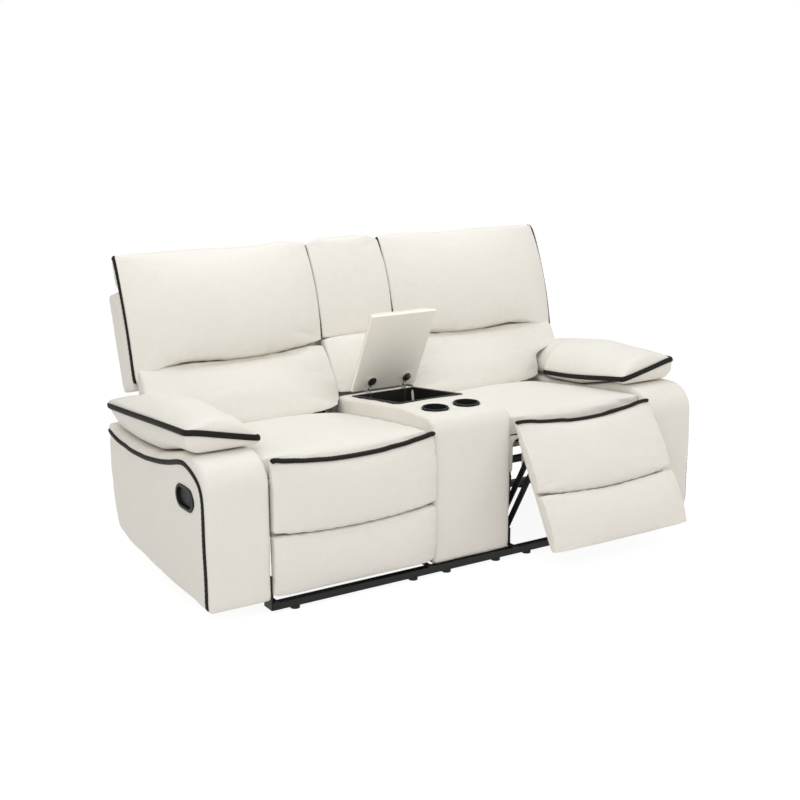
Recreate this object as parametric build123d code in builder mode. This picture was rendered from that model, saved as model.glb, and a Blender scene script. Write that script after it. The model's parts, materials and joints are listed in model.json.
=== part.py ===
from build123d import *
import math
import os

os.makedirs("parts", exist_ok=True)

# Loveseat with two reclining seats and a fixed centre console, in millimetres.
# X runs to the right as seen from the front, Y to the rear, Z up from the floor.
# Depths below are measured rearwards from the line of the arm fronts.

# Overall sizes
overall_width = 1900
arm_width = 207
arm_depth = 792
arm_height = 451
arm_bottom = 45
arm_nose = -6
arm_corner = 95
arm_edge = 12
arm_front = -345
console_width = 308
side_gap = 6
fit_gap = 0.3

arm_outer = overall_width / 2
arm_inner = arm_outer - arm_width
console_side = console_width / 2
seat_centre = (arm_inner + console_side) / 2
seat_half = (arm_inner - console_side) / 2 - side_gap
seat_width = 2 * seat_half
sides = (-1, 1)
seats = {"left": -seat_centre, "right": seat_centre}

# Floor frame
glide_radius = 15
glide_height = 10
rail_height = 22
rail_depth = 26
rail_wall = 2
front_rail_y = 18
rear_rail_y = 613
rail_end_gap = 4
rail_length = 2 * (arm_inner - rail_end_gap)
rail_top = glide_height + rail_height
end_plate_height = 110
end_plate_depth = 50
end_plate_shift = 14
glide_shares = (0.89, 0.31, 0.135)

# Mechanism plates, counted in layers from the seat plate towards the seat's middle
plate = 4
layer_pitch = 5
plate_inset = 24.5
seat_plate_reach = seat_half - plate_inset
bar_height = 58
flange_width = 14
riser_width = 40
riser_front_y = 282
riser_rear_y = 560
riser_overlap = 50
riser_thick = 6
pin_radius = 5
pin_clearance = 0.05
eye_radius = 11

# Footrest linkage, closed pose
drive_pivot = (74, 262)
drive_length = 197
drive_angle = -35.8
carry_length = 261.5
carry_angle = 29.6
guide_offset = (39, -22.5)
control_offset = 50
right_open_angle = 30
seat_angles = {"left": 0, "right": right_open_angle}

# Seat plate, seat box and springs
web_height = 56
seat_plate_y = 60
box_bottom = 285
box_height = 123
box_front = 42
box_rear = 600
border = 18
side_rail = 25
cross_tube = 22
cross_tube_ys = (300, 520)
notch_gap = 2
notch_width = 40
notch_outer = seat_plate_reach - notch_gap
notch_inner = notch_outer - notch_width
notch_height = 110
wire = 3.5
spring_swing = 40
spring_turns = 7
spring_bend = 12
spring_margin = 148.5
spring_spread = seat_half - spring_margin
box_top = box_bottom + box_height

# Seat cushion
seat_front_top = 462
seat_front_lift = 28
seat_rear_top = 437
seat_rear_drop = 15
seat_crown = 4
seat_nose = 3

# Footrest, in the closed pose
board_back = 37
board_thick = 15
board_bottom = 60
board_top = 478
board_inset = 8
bracket_flange = 72
bracket_height = 82
bracket_rise = 20
seam_z = 252
seam_y = -20
seam_dip = 20
seam_gap = 1
pad_top = 488
pad_top_dip = 28
pad_top_y = -4
pad_bottom = 50
pad_bottom_y = -8
pad_crown = 25
pad_tuck = 6
footrest_band = 10

# Backs
back_pivot = (630, 270)
back_eye = 14
back_lean = 17.5
back_origin = (739, 570)
slab_thick = 95
slab_top = 325
slab_step = -250
skirt = 18
skirt_bottom = -430
wing_inset = 75
wing_outer = arm_outer - wing_inset
wing_low = 16
slab_edge = 12
slab_inset = 3
strap = 28
strap_top = -135
strap_flange = 30
strap_flange_low = -285

# Head and lumbar cushions, measured in the leaning panel: out from the slab and up along it
head_inset = 82
head_outer = arm_outer - head_inset
cushion_gap = 3
cushion_inner = console_side + cushion_gap
head_top = 450
head_over = 29
head_over_top = 436
head_front_top = 20
head_edge = 42
head_bow = 40
head_crown = 26
head_low_inner = 70
head_low_outer = 8
lumbar_top_edge = 60
lumbar_bottom_edge = 108
lumbar_bow = 55
lumbar_crown = 24
lumbar_floor = 460
lumbar_gap = 2
centre_half = console_side - side_gap
centre_slab_half = centre_half - slab_inset
centre_head_top = 455
centre_head_edge = 28
centre_lumbar_bottom = 72
centre_lumbar_top = 44
centre_bow = 14
centre_seam = 84
tuck_depth = 10
piping = 9
piping_thick = 3

# Console
console_front = 13
console_rear = 640
console_flat_end = 225
console_top = 520
console_corner = 55
console_edge = 12
deck_slope = 7
upright_angle = 90
bin_mid = 417.5
bin_frame_length = 307
bin_margin = 24
bin_frame_width = console_width - 2 * bin_margin
bin_frame_thick = 3
bin_length = 285
bin_rim = 12
bin_width = bin_frame_width - 2 * bin_rim
bin_wall = 3
bin_depth = 170
cup_margin = 92
cup_x = console_side - cup_margin
cup_y = 145
cup_ring = 45
cup_bore = 38
cup_wall = 2
cup_depth = 65
cup_lip = 3

# Console lid and its two hinges
hinge_y = 580
hinge_rise = 12
lid_open = 56.7
lid_width = bin_frame_width
lid_length = 321
lid_start = 10
lid_seat = 8
lid_board = 12
lid_pad = 22
lid_edge = 8
hinge_left = -65
hinge_right = 80
hinge_pin = 3
hinge_eye = 7
hinge_plate = 4
hinge_slot = 11
hinge_slot_length = 22
hinge_drop = 60
hinge_arm = 6
cup_boss = 17
cup_boss_rise = 6
cup_boss_y = 50

# Arm pillow
pillow_lap = 30
pillow_overhang = 7
pillow_inner = arm_inner - pillow_lap
pillow_outer = arm_outer + pillow_overhang
pillow_foot = 40
pillow_crown = 80
pillow_band = 10
pillow_step = 32

# Pull latch
latch_y = 146
latch_drop = 130
latch_z = arm_bottom + arm_height - latch_drop
bezel_length = 128
bezel_height = 76
bezel_lip = 3
cup_length = 116
latch_wall = 4
latch_depth = 26
paddle_gap = 3
paddle_thick = 5
paddle_inset = 9
paddle_pin = 3
paddle_pin_x = -24
paddle_stub = 5


def across(x):
    """Side plane at x: local X runs rearwards from the arm fronts, local Y up."""
    return Plane(origin=(x, arm_front, 0), x_dir=(0, 1, 0), z_dir=(1, 0, 0))


def facing(y):
    """Front plane at depth y: local X to the right, local Y up, facing forwards."""
    return Plane(origin=(0, arm_front + y, 0), x_dir=(1, 0, 0), z_dir=(0, -1, 0))


def level(z):
    """Level plane at height z: local X to the right, local Y rearwards."""
    return Plane(origin=(0, arm_front, z), x_dir=(1, 0, 0), z_dir=(0, 0, 1))


def leaning(x, spot, lean):
    """Side plane whose local Y leans rearwards by lean degrees; local X points out behind."""
    turn = math.radians(lean)
    return Plane(
        origin=(x, arm_front + spot[0], spot[1]),
        x_dir=(0, math.cos(turn), -math.sin(turn)),
        z_dir=(1, 0, 0),
    )


def save(piece, name):
    """Labels a finished piece and writes it to its own file."""
    piece.part.label = name
    export_step(piece.part, "parts/" + name + ".step")


def bar(start, end, radius):
    """A flat bar with round eyes at its two pivots, in the open sketch."""
    run = Vector(*end) - Vector(*start)
    with Locations((Vector(*start) + Vector(*end)) / 2):
        SlotCenterToCenter(run.length, 2 * radius, rotation=math.degrees(math.atan2(run.Y, run.X)))


def pin_hole(spot):
    """A round running hole at a pivot, in the open sketch."""
    with Locations(spot):
        Circle(pin_radius + pin_clearance, mode=Mode.SUBTRACT)


def layer(centre, side, number):
    """Inner face of mechanism layer number on one side of the seat, and its outward plate."""
    reach = seat_plate_reach - plate - number * layer_pitch
    return min(centre + side * reach, centre + side * (reach + plate))


def span(centre, side, low, high):
    """Start and length along X of a pin between two reaches from the seat's middle."""
    return min(centre + side * low, centre + side * high), high - low


def round_pin(spot, centre, side, low, high, radius=pin_radius):
    """A pin along X between two reaches from the seat's middle."""
    start, length = span(centre, side, low, high)
    with BuildSketch(across(start)) as disc:
        with Locations(spot):
            Circle(radius)
    extrude(disc.sketch, amount=length)


def linkage(angle):
    """Pivots of the footrest linkage when it has opened by angle degrees."""
    swing = math.radians(drive_angle + angle)
    turned = math.radians(angle)
    rise = math.radians(carry_angle)
    low = (
        drive_pivot[0] - drive_length * math.sin(swing),
        drive_pivot[1] - drive_length * math.cos(swing),
    )
    board = (low[0] - carry_length * math.sin(rise), low[1] + carry_length * math.cos(rise))
    lobe = (control_offset * math.sin(turned), control_offset * math.cos(turned))
    return {
        "drive": drive_pivot,
        "guide": (drive_pivot[0] + guide_offset[0], drive_pivot[1] + guide_offset[1]),
        "low": low,
        "low_guide": (low[0] + guide_offset[0], low[1] + guide_offset[1]),
        "lobe": (low[0] + lobe[0], low[1] + lobe[1]),
        "board": board,
        "board_lobe": (board[0] + lobe[0], board[1] + lobe[1]),
    }


# Front and rear rails of the floor frame: square steel tube between the arms
for name, rail_y in (("front_rail", front_rail_y), ("rear_rail", rear_rail_y)):
    with BuildPart() as rail:
        with BuildSketch(across(-rail_length / 2)):
            with Locations((rail_y, glide_height + rail_height / 2)):
                Rectangle(rail_depth, rail_height)
                Rectangle(rail_depth - 2 * rail_wall, rail_height - 2 * rail_wall, mode=Mode.SUBTRACT)
        extrude(amount=rail_length)
    save(rail, name)

# Twelve round glides under the rails
with BuildPart() as glides:
    for rail_y in (front_rail_y, rear_rail_y):
        for side in sides:
            for share in glide_shares:
                with BuildSketch(level(0)):
                    with Locations((side * share * rail_length / 2, rail_y)):
                        Circle(glide_radius)
                extrude(amount=glide_height)
save(glides, "floor_glides")

# Plates that close the rails' ends and carry the arms
with BuildPart() as end_plates:
    for side in sides:
        for rail_y in (front_rail_y + end_plate_shift, rear_rail_y):
            start = min(side * arm_inner, side * (arm_inner - rail_end_gap))
            with BuildSketch(across(start)):
                with Locations((rail_y, glide_height + end_plate_height / 2)):
                    Rectangle(end_plate_depth, end_plate_height)
            extrude(amount=rail_end_gap)
save(end_plates, "rail_end_plates")

# Angle bars from rail to rail under each side of each seat, with spacers up to the seat plates
bar_reach = seat_plate_reach + riser_thick
plate_low = box_bottom - plate - web_height
with BuildPart() as base_bars:
    for centre in seats.values():
        for side in sides:
            start, wide = span(centre, side, bar_reach, bar_reach + plate)
            with BuildSketch(across(start)):
                with Locations(((box_front + rear_rail_y) / 2, rail_top + bar_height / 2)):
                    Rectangle(rear_rail_y - box_front, bar_height)
            extrude(amount=wide)
            start, wide = span(centre, side, bar_reach, bar_reach + plate + flange_width)
            with BuildSketch(across(start)):
                with Locations(((front_rail_y + rear_rail_y) / 2, rail_top + plate / 2)):
                    Rectangle(rear_rail_y - front_rail_y + rail_depth, plate)
            extrude(amount=wide)
            start, wide = span(centre, side, seat_plate_reach, bar_reach)
            with BuildSketch(across(start)):
                for riser_y in (riser_front_y, riser_rear_y):
                    with Locations((riser_y, (rail_top + plate_low + riser_overlap) / 2)):
                        Rectangle(riser_width, plate_low + riser_overlap - rail_top - plate)
            extrude(amount=wide)
save(base_bars, "base_bars")

# Side view of a seat plate: deep web, raked front and a rear eye for the back's pivot
web_shares = ((0, 1), (0, 0.5), (0.06, 0), (0.88, 0), (0.97, 0.4), (0.99, 0.95), (0.9, 1))
web_length = back_pivot[0] - seat_plate_y
web_points = [(seat_plate_y + s * web_length, plate_low + t * web_height) for s, t in web_shares]

for name, centre in seats.items():
    pivots = linkage(seat_angles[name])

    # Seat plates: two webs with outward flanges, joined by square cross tubes, with fixed pins
    with BuildPart() as seat_plates:
        for side in sides:
            start, wide = span(centre, side, seat_plate_reach - plate, seat_plate_reach)
            with BuildSketch(across(start)):
                with BuildLine():
                    Polyline(*web_points, close=True)
                make_face()
                with Locations(back_pivot):
                    Circle(back_eye)
            extrude(amount=wide)
            start, wide = span(centre, side, seat_plate_reach - plate, seat_half)
            with BuildSketch(across(start)):
                with Locations(((seat_plate_y + box_rear) / 2, box_bottom - plate / 2)):
                    Rectangle(box_rear - seat_plate_y, plate)
            extrude(amount=wide)
            inner = seat_plate_reach - plate - layer_pitch
            round_pin(pivots["drive"], centre, side, inner, seat_plate_reach)
            round_pin(back_pivot, centre, side, inner, seat_plate_reach)
            outer = seat_plate_reach + layer_pitch
            round_pin(pivots["guide"], centre, side, seat_plate_reach - plate, outer)
        with BuildSketch(across(centre - seat_plate_reach + plate)):
            with Locations(*[(tube_y, plate_low + cross_tube / 2) for tube_y in cross_tube_ys]):
                Rectangle(cross_tube, cross_tube)
        extrude(amount=2 * (seat_plate_reach - plate))
    save(seat_plates, name + "_seat_plates")

    # Drive links: hung on the seat plates, each with a lobe that carries the control link
    with BuildPart() as drive_links:
        for side in sides:
            with BuildSketch(across(layer(centre, side, 1))):
                bar(pivots["drive"], pivots["low"], eye_radius)
                bar(pivots["low"], pivots["lobe"], eye_radius)
                bar(pivots["drive"], pivots["lobe"], eye_radius)
                pin_hole(pivots["drive"])
            extrude(amount=plate)
            reach = seat_plate_reach - plate - layer_pitch
            round_pin(pivots["low"], centre, side, reach - layer_pitch, reach)
            round_pin(pivots["lobe"], centre, side, reach - 2 * layer_pitch, reach)
    save(drive_links, name + "_drive_links")

    # Guide links: parallel to the drive links, outside the seat plates
    with BuildPart() as guide_links:
        for side in sides:
            with BuildSketch(across(layer(centre, side, -1))):
                bar(pivots["guide"], pivots["low_guide"], eye_radius)
                pin_hole(pivots["guide"])
                pin_hole(pivots["low_guide"])
            extrude(amount=plate)
    save(guide_links, name + "_guide_links")

    # Carry links: long bent bars from the guide links' ends up to the footrest's brackets
    with BuildPart() as carry_links:
        for side in sides:
            with BuildSketch(across(layer(centre, side, 2))):
                bar(pivots["low_guide"], pivots["low"], eye_radius)
                bar(pivots["low"], pivots["board"], eye_radius)
                pin_hole(pivots["low"])
                pin_hole(pivots["board"])
            extrude(amount=plate)
            reach = seat_plate_reach - plate - 2 * layer_pitch
            outer = seat_plate_reach + layer_pitch
            round_pin(pivots["low_guide"], centre, side, reach, outer)
    save(carry_links, name + "_carry_links")

    # Control links: parallel to the carry links, they turn the footrest as it rises
    with BuildPart() as control_links:
        for side in sides:
            with BuildSketch(across(layer(centre, side, 3))):
                bar(pivots["lobe"], pivots["board_lobe"], eye_radius)
                pin_hole(pivots["lobe"])
                pin_hole(pivots["board_lobe"])
            extrude(amount=plate)
    save(control_links, name + "_control_links")

    # Footrest, drawn closed and carried round the upper pivot of the carry links
    closed = linkage(0)["board"]
    opened = seat_angles[name]

    def panel(x):
        """Side plane fixed to the footrest, with its origin at the carry links' upper pivot."""
        return leaning(x, pivots["board"], opened)

    def spot(y, z):
        """A point of the closed footrest, from the floor and the arm fronts, in its panel."""
        return (y - closed[0], z - closed[1])

    with BuildPart() as board:
        with BuildSketch(panel(centre - seat_half + board_inset)):
            with Locations(spot(board_back - board_thick / 2, (board_bottom + board_top) / 2)):
                Rectangle(board_thick, board_top - board_bottom)
        extrude(amount=seat_width - 2 * board_inset)
        fillet(board.edges().filter_by(Axis.X, reverse=True).group_by(Axis.X)[0], plate)
    save(board, name + "_footrest_board")

    with BuildPart() as brackets:
        for side in sides:
            with BuildSketch(panel(layer(centre, side, 4))):
                with BuildLine():
                    Polyline(
                        spot(board_back, closed[1] - bracket_rise),
                        spot(bracket_flange, closed[1] - bracket_rise),
                        spot(bracket_flange, closed[1] - bracket_rise + bracket_height - plate),
                        spot(board_back, closed[1] - bracket_rise + bracket_height),
                        close=True,
                    )
                make_face()
            extrude(amount=plate)
            reach = seat_plate_reach - plate - 4 * layer_pitch
            start, wide = span(centre, side, reach - flange_width, reach)
            with BuildSketch(panel(start)):
                low = closed[1] - bracket_rise
                with Locations(spot(board_back + plate / 2, low + bracket_height / 2)):
                    Rectangle(plate, bracket_height)
            extrude(amount=wide)
            for lobe, number in ((0, 2), (control_offset, 3)):
                tip = seat_plate_reach - number * layer_pitch
                start, wide = span(centre, side, reach, tip)
                with BuildSketch(panel(start)):
                    with Locations((0, lobe)):
                        Circle(pin_radius)
                extrude(amount=wide)
    save(brackets, name + "_footrest_brackets")

    # Footrest pads: crowned lofts on the board's front, drawn in towards their sides
    front = board_back - board_thick - fit_gap

    def footrest_sections(low_rear, low_front, high_rear, high_front, dips):
        """Side sections of a footrest pad from one side of the seat to the other."""
        found = []
        for share in pad_shares:
            arch = 1 - share ** 2
            tuck = pad_tuck * abs(share) ** 8
            low, high = (dip * arch for dip in dips)
            with BuildSketch(panel(centre + share * seat_half)) as face:
                with BuildLine():
                    corner = spot(front, low_rear - low + tuck)
                    top_rear = spot(front, high_rear - high - tuck)
                    top_front = spot(high_front[0] + tuck, high_front[1] - high - tuck)
                    low_edge = spot(low_front[0] + tuck, low_front[1] - low + tuck)
                    Line(corner, top_rear)
                    Line(top_rear, top_front)
                    SagittaArc(top_front, low_edge, -pad_crown * (1 + arch) / 2)
                    Line(low_edge, corner)
                make_face()
            found.append(face.sketch)
        return found

    pad_shares = (-1, -0.94, -0.6, 0, 0.6, 0.94, 1)
    with BuildPart() as upper_pad:
        loft(footrest_sections(
            seam_z + seam_gap, (seam_y, seam_z + seam_gap),
            pad_top - plate, (pad_top_y, pad_top), (seam_dip, pad_top_dip),
        ))
    save(upper_pad, name + "_footrest_upper_pad")

    with BuildPart() as lower_pad:
        loft(footrest_sections(
            board_bottom, (pad_bottom_y, pad_bottom),
            seam_z, (seam_y, seam_z), (0, seam_dip),
        ))
    save(lower_pad, name + "_footrest_lower_pad")

    # Dark band sewn along the upper pad's dipped top edge
    with BuildPart() as band:
        faces = []
        for share in pad_shares:
            drop = pad_top_dip * (1 - share ** 2) + pad_tuck * abs(share) ** 8
            with BuildSketch(panel(centre + share * seat_half)) as face:
                with BuildLine():
                    Polyline(
                        spot(pad_top_y + pad_tuck, pad_top - drop + fit_gap),
                        spot(front, pad_top - plate - drop + fit_gap),
                        spot(front, pad_top - drop + footrest_band - plate),
                        spot(pad_top_y + pad_tuck, pad_top - drop + footrest_band),
                        close=True,
                    )
                make_face()
            faces.append(face.sketch)
        loft(faces)
    save(band, name + "_footrest_trim")

    # Seat box: timber frame on the seat plates' flanges, notched for the footrest links
    with BuildPart() as seat_box:
        with BuildSketch(level(box_bottom)):
            with Locations((centre, (box_front + box_rear) / 2)):
                Rectangle(seat_width, box_rear - box_front)
                Rectangle(seat_width - 2 * side_rail, box_rear - box_front - 2 * border, mode=Mode.SUBTRACT)
        extrude(amount=box_height)
        with BuildSketch(facing(box_front)):
            for side in sides:
                with Locations((centre + side * (notch_inner + notch_outer) / 2, box_bottom + notch_height / 2)):
                    Rectangle(notch_outer - notch_inner, notch_height)
        extrude(amount=-border, mode=Mode.SUBTRACT)
        fillet(seat_box.faces().sort_by(Axis.Z)[-1].outer_wire().edges(), plate)
    save(seat_box, name + "_seat_box")

    # Zigzag springs across the seat box, from the front border to the rear one
    with BuildPart() as springs:
        for place in (-1, 0, 1):
            middle = centre + place * spring_spread
            first = box_front + border
            last = box_rear - border
            step = (last - first) / spring_turns
            turns = [(middle, first)]
            for turn in range(1, spring_turns):
                inward = 0 if turn in (1, spring_turns - 1) else 1
                swing = inward * (turn % 2 - 0.5) * spring_swing
                turns.append((middle + swing, first + turn * step))
            turns.append((middle, last))
            with BuildSketch(level(box_top - 2 * wire)):
                with BuildLine() as zigzag:
                    FilletPolyline(*turns, radius=spring_bend)
                trace(line_width=wire)
            extrude(amount=wire)
    save(springs, name + "_seat_springs")

    # Seat cushion: nosed front, crowned top, sides drawn down beside the arm and the console
    with BuildPart() as seat_cushion:
        faces = []
        for share in pad_shares:
            lift = share ** 2
            nose = box_front + seat_nose + pad_tuck * abs(share) ** 8
            with BuildSketch(across(centre + share * seat_half)) as face:
                with BuildLine():
                    low_front = (nose, box_top + fit_gap)
                    low_rear = (box_rear, box_top + fit_gap)
                    top_front = (nose, seat_front_top + seat_front_lift * lift - pad_tuck * abs(share) ** 8)
                    top_rear = (box_rear, seat_rear_top - seat_rear_drop * lift)
                    Line(low_rear, top_rear)
                    SagittaArc(top_rear, top_front, -seat_crown * (1 + 4 * (1 - lift)))
                    SagittaArc(top_front, low_front, -seat_nose)
                    Line(low_front, low_rear)
                make_face()
            faces.append(face.sketch)
        loft(faces)
    save(seat_cushion, name + "_seat_cushion")

    # Back frame: a thick upholstered slab with a thin skirt below and a wing over the arm
    side = 1 if centre > 0 else -1

    def back_plane(x):
        """Side plane on the front face of the back's slab."""
        return leaning(x, back_origin, back_lean)

    def reach(low, high):
        """Start and length along X of a piece between two distances from the middle."""
        return min(side * low, side * high), high - low

    with BuildPart() as back_frame:
        start, wide = reach(console_side + side_gap, arm_inner - side_gap)
        with BuildSketch(back_plane(start)):
            with BuildLine():
                Polyline(
                    (0, slab_step), (0, slab_top), (slab_thick, slab_top),
                    (slab_thick, skirt_bottom), (slab_thick - skirt, skirt_bottom),
                    (slab_thick - skirt, slab_step),
                    close=True,
                )
            make_face()
        extrude(amount=wide)
        start, wide = reach(arm_inner - side_gap, wing_outer)
        with BuildSketch(back_plane(start)):
            with Locations((slab_thick / 2, (wing_low + slab_top) / 2)):
                Rectangle(slab_thick, slab_top - wing_low)
        extrude(amount=wide)
        rear_top = back_frame.edges().filter_by(Axis.X).sort_by(Axis.Z)[-2:].sort_by(Axis.Y)[-1]
        fillet(rear_top, slab_edge)
    save(back_frame, name + "_back_frame")

    # Steel straps from the back's pivots up the front of its slab
    pivot_local = (
        (back_pivot[0] - back_origin[0]) * math.cos(math.radians(back_lean))
        - (back_pivot[1] - back_origin[1]) * math.sin(math.radians(back_lean)),
        (back_pivot[0] - back_origin[0]) * math.sin(math.radians(back_lean))
        + (back_pivot[1] - back_origin[1]) * math.cos(math.radians(back_lean)),
    )
    with BuildPart() as straps:
        for each in sides:
            with BuildSketch(back_plane(layer(centre, each, 1))):
                with Locations(pivot_local):
                    Circle(back_eye)
                with Locations((-strap / 2, (pivot_local[1] + strap_top) / 2)):
                    Rectangle(strap, strap_top - pivot_local[1])
                with Locations(pivot_local):
                    Circle(pin_radius + pin_clearance, mode=Mode.SUBTRACT)
            extrude(amount=plate)
            inner = seat_plate_reach - plate - layer_pitch
            start, wide = span(centre, each, inner - strap_flange, inner)
            with BuildSketch(back_plane(start)):
                with Locations((-plate / 2, (strap_flange_low + strap_top) / 2)):
                    Rectangle(plate, strap_top - strap_flange_low)
            extrude(amount=wide)
    save(straps, name + "_back_brackets")

    # Head cushion: rolls over the slab's top, and its outer end hangs lower over the arm
    head_width = head_outer - cushion_inner
    head_shares = (0, 0.03, 0.25, 0.55, 0.8, 0.9, 0.97, 1)
    low_shares = (1, 1, 0.97, 0.93, 0.8, 0.4, 0.1, 0)
    with BuildPart() as head_cushion:
        faces = []
        for share, low_share in zip(head_shares, low_shares):
            arch = 1 - (2 * share - 1) ** 2
            tuck = abs(2 * share - 1) ** 12
            low = head_low_outer + low_share * (head_low_inner - head_low_outer)
            thick = head_edge * (1 - tuck / 3) + head_bow * arch
            with BuildSketch(back_plane(side * (cushion_inner + share * head_width))) as face:
                with BuildLine():
                    rear_low = (-fit_gap, low + tuck_depth * tuck)
                    step = (-fit_gap, slab_top + fit_gap)
                    over_low = (head_over - tuck_depth * tuck, slab_top + head_edge / 2)
                    over_top = (head_over - tuck_depth * tuck, head_over_top - tuck_depth * tuck)
                    front_top = (-head_front_top, head_top - tuck_depth * tuck)
                    front_low = (-thick, low + tuck_depth * tuck)
                    Line(rear_low, step)
                    Line(step, over_low)
                    Line(over_low, over_top)
                    SagittaArc(over_top, front_top, -tuck_depth)
                    SagittaArc(front_top, front_low, -head_crown * (1 + arch))
                    Line(front_low, rear_low)
                make_face()
            faces.append(face.sketch)
        loft(faces)
    save(head_cushion, name + "_head_cushion")

    # Lumbar cushion: fullest low down, with a level bottom just above the seat cushion
    lumbar_width = arm_inner - side_gap - cushion_inner - slab_inset
    with BuildPart() as lumbar:
        faces = []
        for share in pad_shares:
            arch = 1 - share ** 2
            tuck = abs(share) ** 12
            middle = side * (cushion_inner + slab_inset + lumbar_width * (1 + share) / 2)
            lean = math.radians(back_lean)
            thick = lumbar_bottom_edge * (1 - tuck / 8) + lumbar_bow * arch
            base = (lumbar_floor - back_origin[1]) / math.cos(lean)
            with BuildSketch(back_plane(middle)) as face:
                with BuildLine():
                    rear_low = (-fit_gap, base)
                    rear_top = (-fit_gap, lumbar_top_edge - lumbar_gap - tuck_depth * (1 + tuck))
                    front_top = (-(head_edge + lumbar_crown / 2 * arch), rear_top[1])
                    front_low = (-thick, base - thick * math.tan(lean) + tuck_depth * tuck)
                    Line(rear_low, rear_top)
                    Line(rear_top, front_top)
                    SagittaArc(front_top, front_low, -lumbar_crown * (1 + arch) / 2)
                    Line(front_low, rear_low)
                make_face()
            faces.append(face.sketch)
        loft(faces)
    save(lumbar, name + "_lumbar_cushion")

    # Dark piping on both ends of the head cushion
    with BuildPart() as back_trims:
        low_ends = (head_low_inner, head_low_outer)
        for place, low_end, outward in zip((cushion_inner, head_outer), low_ends, (-1, 1)):
            start, wide = reach(min(place, place + outward * piping_thick), max(place, place + outward * piping_thick))
            with BuildSketch(back_plane(start)):
                with BuildLine():
                    FilletPolyline(
                        (-head_edge / 3, low_end + 2 * piping),
                        (-head_edge / 3, slab_top - piping),
                        (piping, slab_top + head_edge + piping / 2),
                        (head_over / 2, head_over_top - 2 * piping),
                        radius=head_edge,
                    )
                trace(line_width=piping)
            extrude(amount=wide)
    save(back_trims, name + "_back_trims")

# Console: upholstered box with a round front corner, a level front and a sloping rear top
slope = math.radians(deck_slope)


def deck(y, rise=0):
    """Plane on the console's sloping top at depth y; local Y runs rearwards down the slope."""
    drop = (y - console_flat_end) * math.tan(slope)
    return Plane(
        origin=(0, arm_front + y, console_top - drop),
        x_dir=(1, 0, 0),
        z_dir=(0, math.sin(slope), math.cos(slope)),
    ).offset(rise)


console_rear_top = console_top - (console_rear - console_flat_end) * math.tan(slope)
with BuildPart() as console_box:
    with BuildSketch(across(-console_side)):
        with BuildLine():
            Polyline(
                (console_front, console_top - console_corner), (console_front, rail_top),
                (console_rear, rail_top), (console_rear, console_rear_top),
                (console_flat_end, console_top), (console_front + console_corner, console_top),
            )
            RadiusArc(
                (console_front, console_top - console_corner),
                (console_front + console_corner, console_top),
                console_corner,
            )
        make_face()
    extrude(amount=console_width)
    ends = console_box.edges().group_by(Axis.X)
    fillet(ends[0] + ends[-1], console_edge)
    with BuildSketch(level(console_top)):
        with Locations((-cup_x, cup_y), (cup_x, cup_y)):
            Circle(cup_bore + cup_wall + fit_gap)
    extrude(amount=-(cup_depth + cup_wall), mode=Mode.SUBTRACT)
    with BuildSketch(deck(bin_mid)):
        Rectangle(bin_width + 2 * fit_gap, bin_length + 2 * fit_gap)
    extrude(amount=-bin_depth, mode=Mode.SUBTRACT)
save(console_box, "console_box")

# Storage bin: liner with a flat black frame round its mouth
with BuildPart() as console_bin:
    with BuildSketch(deck(bin_mid)):
        Rectangle(bin_frame_width, bin_frame_length)
    extrude(amount=bin_frame_thick)
    with BuildSketch(deck(bin_mid)):
        Rectangle(bin_width, bin_length)
    extrude(amount=-bin_depth)
    with BuildSketch(deck(bin_mid, bin_frame_thick)):
        Rectangle(bin_width - 2 * bin_wall, bin_length - 2 * bin_wall)
    extrude(amount=-(bin_depth + bin_frame_thick - bin_wall), mode=Mode.SUBTRACT)
save(console_bin, "console_bin")

# Cup holders: turned cups with a rounded ring on the console's level front
with BuildPart() as cup_holders:
    for side in sides:
        with BuildSketch(Plane(origin=(side * cup_x, arm_front + cup_y, 0), x_dir=(1, 0, 0), z_dir=(0, -1, 0))):
            with BuildLine():
                Polyline(
                    (0, console_top - cup_depth - cup_wall),
                    (cup_bore + cup_wall, console_top - cup_depth - cup_wall),
                    (cup_bore + cup_wall, console_top),
                    (cup_ring, console_top),
                    (cup_ring - cup_lip / 2, console_top + cup_lip),
                    (cup_bore, console_top + cup_lip),
                    (cup_bore, console_top - cup_depth),
                    (0, console_top - cup_depth),
                    close=True,
                )
            make_face()
        revolve(axis=Axis((side * cup_x, arm_front + cup_y, 0), (0, 0, 1)))
save(cup_holders, "cup_holders")

# Fixed back between the seats: slab behind the console with its own two cushions
back_turn = math.radians(back_lean)


def panel_point(u, v):
    """Depth and height of a point given out from the slab and up along it."""
    return (
        back_origin[0] + u * math.cos(back_turn) + v * math.sin(back_turn),
        back_origin[1] - u * math.sin(back_turn) + v * math.cos(back_turn),
    )


skirt_rear = panel_point(slab_thick, skirt_bottom)
skirt_joint = back_origin[1] - (back_origin[0] - console_rear) / math.tan(back_turn)
with BuildPart() as centre_back:
    with BuildSketch(across(-centre_slab_half)):
        with BuildLine():
            Polyline(
                (console_rear, skirt_rear[1]), (console_rear, skirt_joint),
                panel_point(0, slab_top), panel_point(slab_thick, slab_top), skirt_rear,
                close=True,
            )
        make_face()
    extrude(amount=2 * centre_slab_half)
    rear_top = centre_back.edges().filter_by(Axis.X).sort_by(Axis.Z)[-2:].sort_by(Axis.Y)[-1]
    fillet(rear_top, slab_edge)
save(centre_back, "centre_back")

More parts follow.
